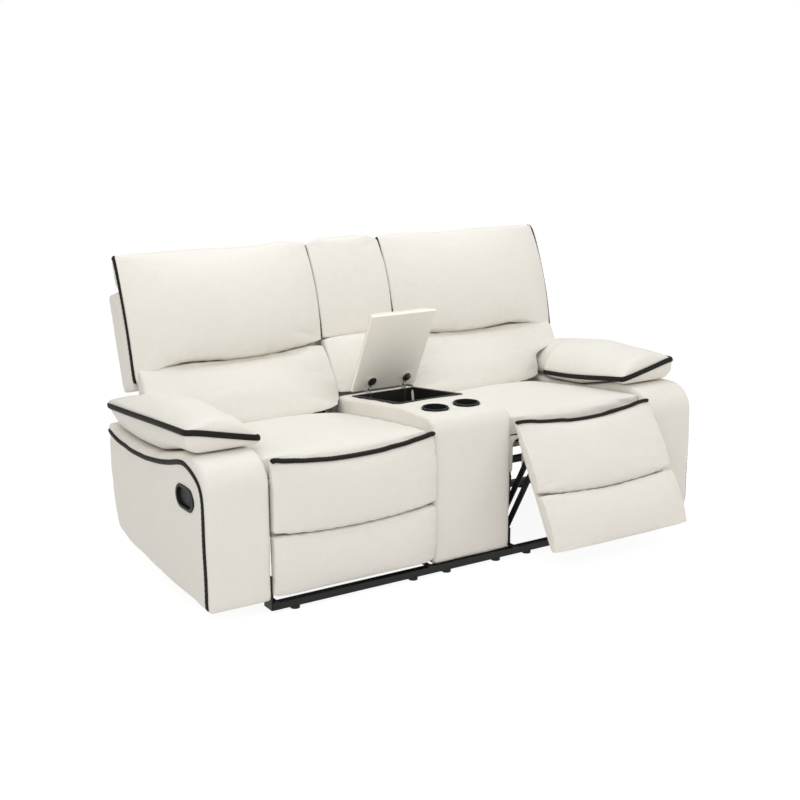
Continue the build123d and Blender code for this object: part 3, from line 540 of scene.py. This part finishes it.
# %% [markdown]
# ## Seams that gather the leather
#
# Where leather is sewn it is held down in a narrow valley, and the stretched hide between
# the stitches stands up in small ridges that run away from the seam and die out. For each
# point of a mesh we need its distance from the seam's line and how far along the line it
# is. Both come from one table of distances, worked out in slices to spare memory.

# %% Valleys and gathers beside a seam
def nearest_on(line, points):
    """Distance to the line's nearest sample, and that sample's length along the line."""
    run = np.r_[0, np.cumsum(np.linalg.norm(np.diff(line, axis=0), axis=1))]
    far, along = np.empty(len(points)), np.empty(len(points))
    at_once = 20000
    for start in range(0, len(points), at_once):
        part = points[start : start + at_once]
        square = (part**2).sum(1)[:, None] + (line**2).sum(1)[None] - 2 * part @ line.T
        which = square.argmin(1)
        nearest = np.maximum(square[np.arange(len(part)), which], 0)
        far[start : start + at_once] = np.sqrt(nearest)
        along[start : start + at_once] = run[which]
    return far, along


def ripple(along, pitch, seed):
    """Three sines whose lengths don't divide each other, so that no two gathers are alike."""
    turn = 2 * np.pi * along / pitch
    slow = 0.7 * np.sin(0.618 * turn + 2 * seed)
    quick = 0.5 * np.sin(1.732 * turn + 3 * seed)
    return (np.sin(turn + seed) + slow + quick) / 2.2


def sew(piece, line, valley, width, gather, reach, pitch, seed):
    """Presses a valley along the line, a bell curve deep, with ridges that fade with distance."""
    points, out = points_of(piece.data), normals_of(piece.data)
    far, along = nearest_on(line, points)
    dip = valley * np.exp(-((far / width) ** 2))
    ridge = gather * ripple(along, pitch, seed) * np.exp(-far / reach) * (1 - np.exp(-far / width))
    put_points(piece.data, points + out * (ridge - dip)[:, None])


# %% [markdown]
# ## Upholstery from the CAD solids
#
# Each cover starts as a copy of its CAD solid. A voxel remesh wraps that copy in an even
# skin of small squares and rounds its corners by about one square, which is just what foam
# under leather does. The hard copy is hidden, and keeps its job of telling MuJoCo where
# things touch.

# %% An even skin over a CAD solid
same_place = 1e-5


def skin_over(node, voxel, times=3):
    """Copies the CAD solid, merges its loose triangles and wraps them in even squares."""
    piece = bpy.data.objects.new(node + "_cover", frame["nodes"][node].data.copy())
    scene.collection.objects.link(piece)
    shell = bmesh.new()
    shell.from_mesh(piece.data)
    bmesh.ops.remove_doubles(shell, verts=shell.verts, dist=same_place)
    shell.to_mesh(piece.data)
    shell.free()
    wrap = piece.modifiers.new("wrap", "REMESH")
    wrap.mode, wrap.voxel_size, wrap.use_smooth_shade = "VOXEL", voxel, True
    ease = piece.modifiers.new("ease", "SMOOTH")
    ease.iterations, ease.factor = times, 0.5
    settle(piece)
    return piece


def finer(piece):
    """One subdivision, kept, so that seams have enough points to press into."""
    halve = piece.modifiers.new("halve", "SUBSURF")
    halve.levels = halve.render_levels = 1
    settle(piece)
    piece.data.polygons.foreach_set("use_smooth", np.ones(len(piece.data.polygons), bool))


# %% [markdown]
# ## Cushions swollen by simulation
#
# A cushion is leather sewn round filling that pushes outwards. Blender's Cloth does this
# with pressure: the skin is held where it is sewn or rests on something, and the rest
# swells until the stretch balances the push. All the cushions swell at once, over twenty
# frames. The skin starts a little inside the CAD solid, and how far it may travel is
# capped, so that the swollen cushion fills the space that the solid keeps for it.

# %% [markdown]
# On the real back the outer end of the leather runs down behind the arm pillow without a
# break, and the tucked seam between head and lumbar starts only further in. The CAD solids
# stop short there, so their skins are drawn out: the lumbar's outer end grows sideways
# above the arm, its top rises to meet the head cushion, and the head's low corner drops.
# Each drawing is a distance times ramps, which say where along the cushion it takes hold.

# %% Draw the skins of the back out to where they meet
seam_sag, seam_middle, seam_half = 0.018, 0.46, 0.31
low_corner = 0.014
tail_length, tail_foot = 0.118, -0.034
lumbar_rise, lumbar_front = 0.082, 0.635
hang_at_ends, hang_more_in_middle = 0.022, 0.008


def sag_of(x):
    """How far the tucked seam hangs below the CAD edge: most in the middle, none at the ends."""
    return seam_sag * np.clip(1 - ((x - seam_middle) / seam_half) ** 2, 0, 1)


def draw_head(points, side):
    """Lowers the middle of the low edge and the outer low corner, fading upwards."""
    x, out, up = in_back(points)
    drop = low_corner * ramp(side * x, 0.76, 0.09) * (1 - ramp(up, 0, 0.15))
    return on_back(x, out, up - drop - sag_of(side * x) * (1 - ramp(up, 0.06, 0.2)))


def draw_lumbar(points, side):
    """Stretches the top up under the head, the outer end sideways and the front down."""
    x, out, up = in_back(points)
    tail = ramp(side * x, 0.68, 0.057)
    wide = side * x + tail_length * tail * ramp(up, -0.086, 0.05)
    top = np.interp(wide, (head_inner, 0.55, 0.73, 0.85), (0.08, 0.076, 0.07, 0.07))
    top = top - sag_of(side * x)
    stretched = tail_foot + (up - tail_foot) * (top - tail_foot) / lumbar_rise
    rise = np.where(up > tail_foot, stretched, up)
    press = 0.006 * ramp(up, 0, 0.048) * (1 - tail) - 0.008 * tail * ramp(up, -0.03, 0.05)
    moved = on_back(side * wide, out + press, rise)
    front = smooth_step((lumbar_front - moved[:, 1] + arm_front) / 0.05)
    bow = np.clip(1 - ((side * x - seat_middle["right"]) / seat_half) ** 2, 0, 1)
    hang = hang_at_ends + hang_more_in_middle * bow
    moved[:, 2] -= hang * front * (1 - ramp(moved[:, 2], 0.46, 0.09))
    return moved


def draw_middle_head(points, side):
    """Rounds the top's two corners down by up to 15 mm and the low edge by 4 mm."""
    x, out, up = in_back(points)
    drop = 0.015 * ramp(abs(x), 0.085, 0.063) * ramp(up, 0.3, 0.12)
    return on_back(x, out, up - drop - 0.004 * (1 - ramp(up, 0.06, 0.06)))


def draw_middle_lumbar(points, side):
    """Stretches the middle lumbar cushion up by 9 mm and down by 9 mm."""
    x, out, up = in_back(points)
    share = (up - up.min()) / (up.max() - up.min())
    return on_back(x, out, up + 0.009 * (2 * smooth_step(share) - 1))


def draw_slab(points, side):
    """Lowers the under side of the slab's wing by 26 mm."""
    x, out, up = in_back(points)
    drop = 0.026 * ramp(side * x, 0.738, 0.03) * (1 - ramp(up, 0.016, 0.15))
    return on_back(x, out, up - drop)


# %% Draw the skins of the footrests and the pillows
roll = {"left": 0.003, "right": 0.024}


def shifted_on_footrest(points, side, shift):
    """Moves points along the footrest's panel by a shift of their place across and their height."""
    name = "left" if side < 0 else "right"
    deep, high = off_footrest(name, points)
    across = (points[:, 0] - seat_middle[name]) / seat_half
    return on_footrest(name, points[:, 0], deep, high + shift(name, across, high))


def draw_board(points, side):
    """Bends the board's top edge down to the dip of the pad in front of it."""
    return shifted_on_footrest(
        points, side,
        lambda name, across, high: -(0.024 + 0.026 * (1 - across**2)) * ramp(high, 0.38, 0.098),
    )


def draw_upper_pad(points, side):
    """Lets the pad's roll stand up, higher on the opened footrest, and lowers its foot by 4 mm."""
    return shifted_on_footrest(
        points, side,
        lambda name, across, high: (
            roll[name] * ramp(high, 0.36, 0.12) - 0.004 * (1 - ramp(high, 0.24, 0.05))
        ),
    )


def draw_lower_pad(points, side):
    """Lowers the pad's under edge by 5 mm to the rail and lifts its top by 4 mm."""
    return shifted_on_footrest(
        points, side,
        lambda name, across, high: (
            0.004 * ramp(high, 0.18, 0.05) - 0.005 * (1 - ramp(high, 0.05, 0.08))
        ),
    )


def draw_pillow(points, side):
    """Lifts the pillow's crown towards the rear by up to 19 mm."""
    deep = points[:, 1] - arm_front
    depths, undersides = (0.1, 0.19, 0.38, 0.56, 0.76), (0.5, 0.5, 0.45, 0.43, 0.45)
    high = points[:, 2] - np.interp(deep, depths, undersides)
    lift = (0.01 * ramp(deep, 0.2, 0.25) + 0.009 * ramp(deep, 0.5, 0.2)) * ramp(high, 0, 0.07)
    return points + np.stack([0 * lift, 0 * lift, lift], -1)


# %% Which node is drawn out how
drawn = {
    "head_cushion": draw_head, "lumbar_cushion": draw_lumbar,
    "arm_pillow": draw_pillow, "back_frame": draw_slab, "footrest_board": draw_board,
    "footrest_upper_pad": draw_upper_pad, "footrest_lower_pad": draw_lower_pad,
    "centre_head_cushion": draw_middle_head, "centre_lumbar_cushion": draw_middle_lumbar,
}


def draw_out(piece, node):
    """Applies the node's own drawing, if it has one."""
    name, _, rest = node.partition("_")
    bend = drawn.get(rest if name in mirror else node)
    if bend:
        put_points(piece.data, bend(points_of(piece.data), mirror.get(name)))


print("nodes drawn out by their own rule:", sorted(drawn))

# %% Where a cushion is held
def beside(points, node, reach=0.012):
    """1 at the two end faces of the cushion's CAD node, fading within the reach."""
    low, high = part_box(node)
    gap = np.minimum(points[:, 0] - low[0], high[0] - points[:, 0])
    return 1 - ramp(gap, 0, reach)


def against(out, direction, least=0.55, reach=0.3):
    """1 where the skin faces the thing it rests on, by the cosine between the two."""
    direction = np.asarray(direction, float) / np.linalg.norm(direction)
    return ramp(out @ direction, least, reach)


# %% Prepare the cushions
Cushion = namedtuple("Cushion", "piece node body cap fill grip wide")
cushions = []


def add_cushion(node, body, voxel, start, cap, fill, way=None):
    """A skin a little inside its CAD solid, held at its ends and where it faces the way."""
    piece = skin_over(node, voxel, 20 if "pillow" in node else 3)
    draw_out(piece, node)
    points, out = points_of(piece.data), normals_of(piece.data)
    wide = points[:, 0].min(), points[:, 0].max()
    put_points(piece.data, points - out * start)
    grip = beside(points, node)
    if way:
        grip = np.maximum(grip, against(out, way))
    group = piece.vertex_groups.new(name="held")
    for share in (0.25, 0.5, 0.75, 1.0):
        group.add(np.flatnonzero(np.round(grip * 4) == share * 4).tolist(), share, "REPLACE")
    cushions.append(Cushion(piece, node, body, cap, fill, grip, wide))


down_way = (0, 0, -1)
back_way = (0, math.cos(lean), -math.sin(lean))
for name in seat_middle:
    turn = math.radians(rest_angle[name])
    rear_way = (0, math.cos(turn), -math.sin(turn))
    for node, body, voxel, start, cap, fill, way in (
        ("_seat_cushion", "base", 0.0095, 0.005, 0.014, 0.8, down_way),
        ("_head_cushion", name + "_back", 0.0095, 0.006, 0.016, 0.85, back_way),
        ("_lumbar_cushion", name + "_back", 0.0095, 0.006, 0.018, 0.8, back_way),
        ("_footrest_upper_pad", name + "_footrest", 0.008, 0.005, 0.016, 0.85, rear_way),
        ("_footrest_lower_pad", name + "_footrest", 0.008, 0.005, 0.016, 0.85, rear_way),
        ("_arm_pillow", "base", 0.0075, 0.005, 0.014, 0.9, down_way),
    ):
        add_cushion(name + node, body, voxel, start, cap, fill, way)
for node in ("centre_head_cushion", "centre_lumbar_cushion"):
    add_cushion(node, "base", 0.0075, 0.004, 0.012, 0.85, back_way)
add_cushion("lid_pad", "lid", 0.006, 0.003, 0.006, 0.7)
points_in_all = sum(len(cushion.piece.data.vertices) for cushion in cushions)
print("cushions:", len(cushions), " points:", points_in_all)

# %% Swell them all together
frames, pressure = 20, 4
past_ends = {"head_cushion": 0.003, "lumbar_cushion": 0.005, "seat_cushion": 0.004}


def swell():
    """Some frames of Cloth pressure on every cushion, then each point's travel is capped."""
    for cushion in cushions:
        push = cushion.piece.modifiers.new("push", "CLOTH")
        push.settings.use_pressure = True
        push.settings.uniform_pressure_force = pressure
        push.settings.quality = 3
        push.settings.effector_weights.gravity = 0
        push.settings.vertex_group_mass = "held"
        push.collision_settings.use_collision = False
        push.point_cache.frame_start, push.point_cache.frame_end = 1, frames
    for step in range(1, frames + 1):
        scene.frame_set(step)
    graph = bpy.context.evaluated_depsgraph_get()
    travel = []
    for cushion in cushions:
        piece, cap = cushion.piece, cushion.cap
        before = points_of(piece.data)
        step = points_of(piece.evaluated_get(graph).data) - before
        far = np.linalg.norm(step, axis=1) + 1e-9
        travel.append(far.max())
        step *= (cap * np.tanh(far / cap) / far)[:, None]
        piece.modifiers.clear()
        put_points(piece.data, before + step)
    scene.frame_set(1)
    return travel


def widen(piece, wide, more):
    """Scales across so that the two end faces lie where the solid's do, and a little beyond."""
    points = points_of(piece.data)
    x = points[:, 0]
    share = (x - x.min()) / (x.max() - x.min())
    points[:, 0] = wide[0] - more + share * (wide[1] - wide[0] + 2 * more)
    put_points(piece.data, points)


travel = swell()
for piece, node, body, _, fill, _, wide in cushions:
    widen(piece, wide, past_ends.get(node.partition("_")[2], 0))
    finer(piece)
    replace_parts(dress(piece, ivory, body), node)
covers = {cushion.node: cushion.piece for cushion in cushions}
print("furthest travel in mm:", [round(1000 * far) for far in travel])

# %% [markdown]
# ## Arms, console, back slabs, seat boxes and footrest boards
#
# These are foam glued to a timber frame, so they don't swell: the skin alone is enough.
# Long soft waves, a sum of sines over the place, keep the big panels from looking like
# sheet metal.

# %% Upholstered frames
def padded_panel(points, height, length):
    """Slow waves over all three directions, as stretched leather over foam shows."""
    x, y, z = points.T * (2 * np.pi / length)
    return height * (
        np.sin(x + 1.3 * np.sin(0.7 * y + 0.4) + 0.6 * z)
        + np.sin(0.9 * z + 1.1 * np.sin(0.8 * x + 1.7) + 0.5 * y)
        + np.sin(1.2 * y + 0.9 * np.sin(0.6 * z + 2.6))
    ) / 3


wave_height, wave_length = 0.0012, 0.21
fine_voxel = 0.008
rigid = {
    "left_arm": ("base", 0.0095),
    "right_arm": ("base", 0.0095),
    "console_box": ("base", 0.009),
    "centre_back": ("base", 0.011),
    "left_back_frame": ("left_back", 0.011),
    "right_back_frame": ("right_back", 0.011),
    "left_seat_box": ("base", fine_voxel),
    "right_seat_box": ("base", fine_voxel),
    "left_footrest_board": ("left_footrest", 0.006),
    "right_footrest_board": ("right_footrest", 0.006),
}
for node, (body, voxel) in rigid.items():
    piece = skin_over(node, voxel)
    draw_out(piece, node)
    if voxel > fine_voxel:
        finer(piece)
    points, out = points_of(piece.data), normals_of(piece.data)
    waves = padded_panel(points, wave_height, wave_length)
    put_points(piece.data, points + out * waves[:, None])
    covers[node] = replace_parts(dress(piece, ivory, body), node)
print("upholstered frames:", len(rigid))

# %% [markdown]
# ## Sewing the seams
#
# Now the lines. Each is a curve through a few places, dropped onto the nearest spot of the
# cover it belongs to, so that it lies on the swollen surface and not on the CAD solid.

# %% Lines laid on a cover
spot_easing, out_easing = 14, 30


def laid_on(cover, path):
    """The path's points moved to the cover's nearest spots, with the outward directions there."""
    tree = BVHTree.FromObject(cover, bpy.context.evaluated_depsgraph_get())
    hits = [tree.find_nearest(point) for point in path]
    spots = np.array([spot for spot, _, _, _ in hits], float)
    outs = eased(np.array([out for _, out, _, _ in hits], float), out_easing)
    return eased(spots, spot_easing), outs / np.linalg.norm(outs, axis=1)[:, None]


def seam(cover, knots, **stitch):
    """Sews the cover along the curve through the knots, once it is laid on the cover."""
    line, _ = laid_on(cover, curve_through(knots))
    sew(cover, line, **stitch)


# %% Where the arm's lines run, as shares of its depth and height
arm_start, arm_depth = arm_front - 0.006, 0.792
arm_foot, arm_height = 0.045, 0.451
cheek_x = 0.951
pillow_depth_shares = np.array([0.14, 0.165, 0.241, 0.487, 0.715, 0.75, 0.891, 0.97])
pillow_outer_shares = np.array([1.186, 1.18, 1.17, 1.135, 1.1, 1.095, 1.075, 1.058])
pillow_inner_shares = np.array([1.075, 1.07, 1.05, 0.985, 0.945])
cheek_shares = np.array([
    (0.99, 0.851), (0.851, 0.814), (0.653, 0.809), (0.523, 0.829), (0.369, 0.876), (0.227, 0.94),
    (0.164, 0.94), (0.111, 0.918), (0.062, 0.87), (0.035, 0.794), (0.027, 0.65), (0.026, 0.4),
    (0.025, 0.2), (0.024, 0.014),
])


def arm_spot(x, depth, height):
    """A place on an arm from its shares of the arm's depth and height."""
    x, depth, height = np.broadcast_arrays(x, depth, height)
    return np.stack([x, arm_start + arm_depth * depth, arm_foot + arm_height * height], -1)


print("arm in metres, deep and high:", arm_depth, arm_height)

# %% Seams down the footrests, under the heads, over the lumbars and along the arms
for name, side in mirror.items():
    middle = seat_middle[name]
    for share in (-1, 1):
        edge = middle + share * (seat_half - 0.004)
        for pad, low, high in (
            ("_footrest_upper_pad", 0.27, 0.47), ("_footrest_lower_pad", 0.07, 0.235),
        ):
            seam(
                covers[name + pad], on_footrest(name, edge, -0.024, np.linspace(low, high, 6)),
                valley=0.001, width=0.008, gather=0.0016, reach=0.035, pitch=0.05, seed=2 + share,
            )
    for pad, height, seed in (("_footrest_upper_pad", 0.254, 1), ("_footrest_lower_pad", 0.250, 4)):
        share = np.linspace(-0.96, 0.96, 9)
        seam(
            covers[name + pad],
            on_footrest(name, middle + share * seat_half, -0.021, height - 0.02 * (1 - share**2)),
            valley=0.002, width=0.008, gather=0.0022, reach=0.03, pitch=0.036, seed=seed,
        )
    share = np.linspace(0.03, 0.8, 9)
    drop = np.interp(share, (0, 0.25, 0.55, 0.8), (0.07, 0.068, 0.066, 0.058))
    across = head_inner + head_width * share
    seam(
        covers[name + "_head_cushion"], on_back(side * across, -0.05, drop - sag_of(across)),
        valley=0.002, width=0.01, gather=0.0026, reach=0.045, pitch=0.06, seed=2,
    )
    across = 0.16 + 0.577 * np.linspace(0.03, 0.97, 9)
    seam(
        covers[name + "_lumbar_cushion"], on_back(side * across, -0.055, 0.058 - sag_of(across)),
        valley=0.003, width=0.012, gather=0.003, reach=0.05, pitch=0.075, seed=5,
    )
    below_piping = cheek_shares[:7, 1] - 0.045
    seam(
        covers[name + "_arm"], arm_spot(side * cheek_x, cheek_shares[:7, 0], below_piping),
        valley=0.0022, width=0.016, gather=0.0028, reach=0.05, pitch=0.12, seed=3,
    )
print("seams sewn on", len(covers), "covers")

# %% [markdown]
# ## Piping
#
# Dark piping marks the edges: round the pillows on the arms, along the arms' cheeks and
# down their fronts, up both ends of each head cushion and along the top of each footrest.
# It is a strip of leather sewn round a cord, so its section is an oval. The path is laid
# on the cover first, and the oval is carried along it, standing on the cover.

# %% Piping laid on the covers
stitch_rise, stitch_pitch = 0.0004, 0.017


def piping(name, cover, path, body, width, height=0.0085, sunk=0.0015):
    """An oval strip on the cover, which stands out by part of its height and ripples a little."""
    spots, outs = laid_on(cover, even_steps(path))
    run = np.arange(len(spots)) * line_step
    ripples = stitch_rise * np.sin(2 * np.pi * run / stitch_pitch)
    stand = outs * (height / 2 - sunk + ripples)[:, None]
    return dress(carried(name, spots + stand, outs, width, height), piping_hide, body)


head_up = np.array([0.1, 0.18, 0.26, 0.34, 0.4, 0.435, 0.446, 0.44])
head_out = np.array([-0.031, -0.04, -0.044, -0.042, -0.036, -0.028, -0.018, -0.002, 0.02])
roll_top, roll_dip = 0.489, 0.028
for name, side in mirror.items():
    middle = seat_middle[name]
    pillow = covers[name + "_arm_pillow"]
    outer = arm_spot(side * 0.957, pillow_depth_shares, pillow_outer_shares - 0.012)[::-1]
    inner = arm_spot(side * 0.713, pillow_depth_shares[:5], pillow_inner_shares - 0.012)
    front = arm_spot(side * np.array([0.925, 0.835, 0.745]), 0.136, (1.165, 1.12, 1.075))
    path = curve_through(np.vstack([outer, front, inner]))
    strip = piping(name + "_pillow_piping", pillow, path, "base", width=0.0185)
    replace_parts(strip, "pillow_trims")
    path = curve_through(arm_spot(side * cheek_x, *cheek_shares.T))
    strip = piping(
        name + "_arm_piping", covers[name + "_arm"], path, "base",
        width=0.0165, height=0.008, sunk=0.0035,
    )
    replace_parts(strip, "arm_trims")
    for end, x, low, back, wide, sunk in (
        ("inner", 0.155, 0.08, 0.014, 0.0125, 0.004), ("outer", 0.868, 0.004, 0.009, 0.0145, 0.003),
    ):
        path = curve_through(on_back(side * x, head_out + back, np.r_[low, head_up]))
        strip = piping(
            f"{name}_{end}_back_piping", covers[name + "_head_cushion"], path, name + "_back",
            width=wide, sunk=sunk,
        )
        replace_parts(strip, name + "_back_trims")
    share = np.linspace(-0.985, 0.985, 13)
    high = roll_top + roll[name]
    top = on_footrest(name, middle + share * seat_half, -0.006, high - roll_dip * (1 - share**2))
    ends = [
        on_footrest(name, middle + end * (seat_half + 0.001), -0.007, high - roll_dip / 2)
        for end in (-1, 1)
    ]
    strip = piping(
        name + "_footrest_piping", covers[name + "_footrest_upper_pad"],
        curve_through(np.vstack([ends[0], top, ends[1]])), name + "_footrest",
        width=0.017, height=0.0115,
    )
    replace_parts(strip, name + "_footrest_trim")
strips = [name for name in bpy.data.objects.keys() if name.endswith("_piping")]
print("strips of piping:", len(strips))

# %% [markdown]
# ## Floor, light and camera
#
# The floor is a plain pale sheet. The camera sees it nearly white, through Light Path, yet it
# still takes the sofa's soft shadow. Three broad lamps and a pale sky light the leather
# evenly, at a level where its colour renders as it is written.

# %% Stage
floor_finish = Finish("pale_floor")
ray = floor_finish.node("ShaderNodeLightPath", out="Is Camera Ray")
gloss_ray = floor_finish.node("ShaderNodeLightPath", out="Is Glossy Ray")
clear_ray = floor_finish.node("ShaderNodeLightPath", out="Is Transmission Ray")
matt = floor_finish.node("ShaderNodeBsdfDiffuse", {"Color": (0.86, 0.86, 0.855, 1)})
glow = floor_finish.node("ShaderNodeEmission", {"Color": (1, 1, 1, 1), "Strength": 1.12})
glow_share = 0.82 * (ray + gloss_ray + clear_ray)
mixed = floor_finish.node("ShaderNodeMixShader", {0: glow_share, 1: matt, 2: glow})
floor_finish.node("ShaderNodeOutputMaterial", {"Surface": mixed})
floor_reach = 40
span = np.linspace(-floor_reach, floor_reach, 3)
grid = np.stack([*np.meshgrid(span, span, indexing="ij"), np.zeros((3, 3))], -1)
floor = surface("floor", grid)
floor.data.materials.append(floor_finish.material)
floor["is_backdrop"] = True

scene.world = bpy.data.worlds.new("studio")
sky = Tree(scene.world)
ray = sky.node("ShaderNodeLightPath", out="Is Camera Ray")
clear_ray = sky.node("ShaderNodeLightPath", out="Is Transmission Ray")
pale = sky.node("ShaderNodeBackground", {"Color": (1, 0.975, 0.93, 1), "Strength": 0.59})
white = sky.node("ShaderNodeBackground", {"Color": (1, 1, 1, 1), "Strength": 1})
seen = ray.math("MAXIMUM", ray, clear_ray)
either = sky.node("ShaderNodeMixShader", {0: seen, 1: pale, 2: white})
sky.node("ShaderNodeOutputWorld", {"Surface": either})


# %% Lamps
aim = (0, 0, 0.4)


def lamp(name, place, size, power, colour):
    """A broad square lamp at a place, turned to face the middle of the sofa."""
    data = bpy.data.lights.new(name, "AREA")
    data.size, data.energy, data.color = size, power, colour
    made = bpy.data.objects.new(name, data)
    scene.collection.objects.link(made)
    away = np.asarray(place, float) - np.asarray(aim, float)
    flat = math.hypot(away[0], away[1])
    made.location = place
    made.rotation_euler = (math.atan2(flat, away[2]), 0, math.atan2(away[0], -away[1]))
    made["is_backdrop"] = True


lamp("key", (-2.7, -3.0, 3.3), size=2.6, power=58, colour=(1, 0.99, 0.98))
lamp("fill", (3.6, -2.2, 2.2), size=2.4, power=23, colour=(1, 0.97, 0.92))
lamp("top", (0.2, 0.6, 3.6), size=2.8, power=46, colour=(0.935, 0.97, 1))

# %% Camera
lens, sensor = 59.05, 36
stand = (-2.38489, -3.65295, 1.57951)
looks_down, looks_right = 13.96, 32.34
camera = bpy.data.objects.new("camera", bpy.data.cameras.new("camera"))
scene.collection.objects.link(camera)
camera.data.lens, camera.data.sensor_width = lens, sensor
camera.location = stand
camera.rotation_euler = (math.radians(90 - looks_down), 0, math.radians(-looks_right))
scene.camera = camera
scene.view_settings.view_transform = "Standard"

# %% Measure the result and finish
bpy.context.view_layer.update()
triangles = sum(
    len(p.data.loop_triangles) or sum(len(f.vertices) - 2 for f in p.data.polygons)
    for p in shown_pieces() if p.type == "MESH"
)
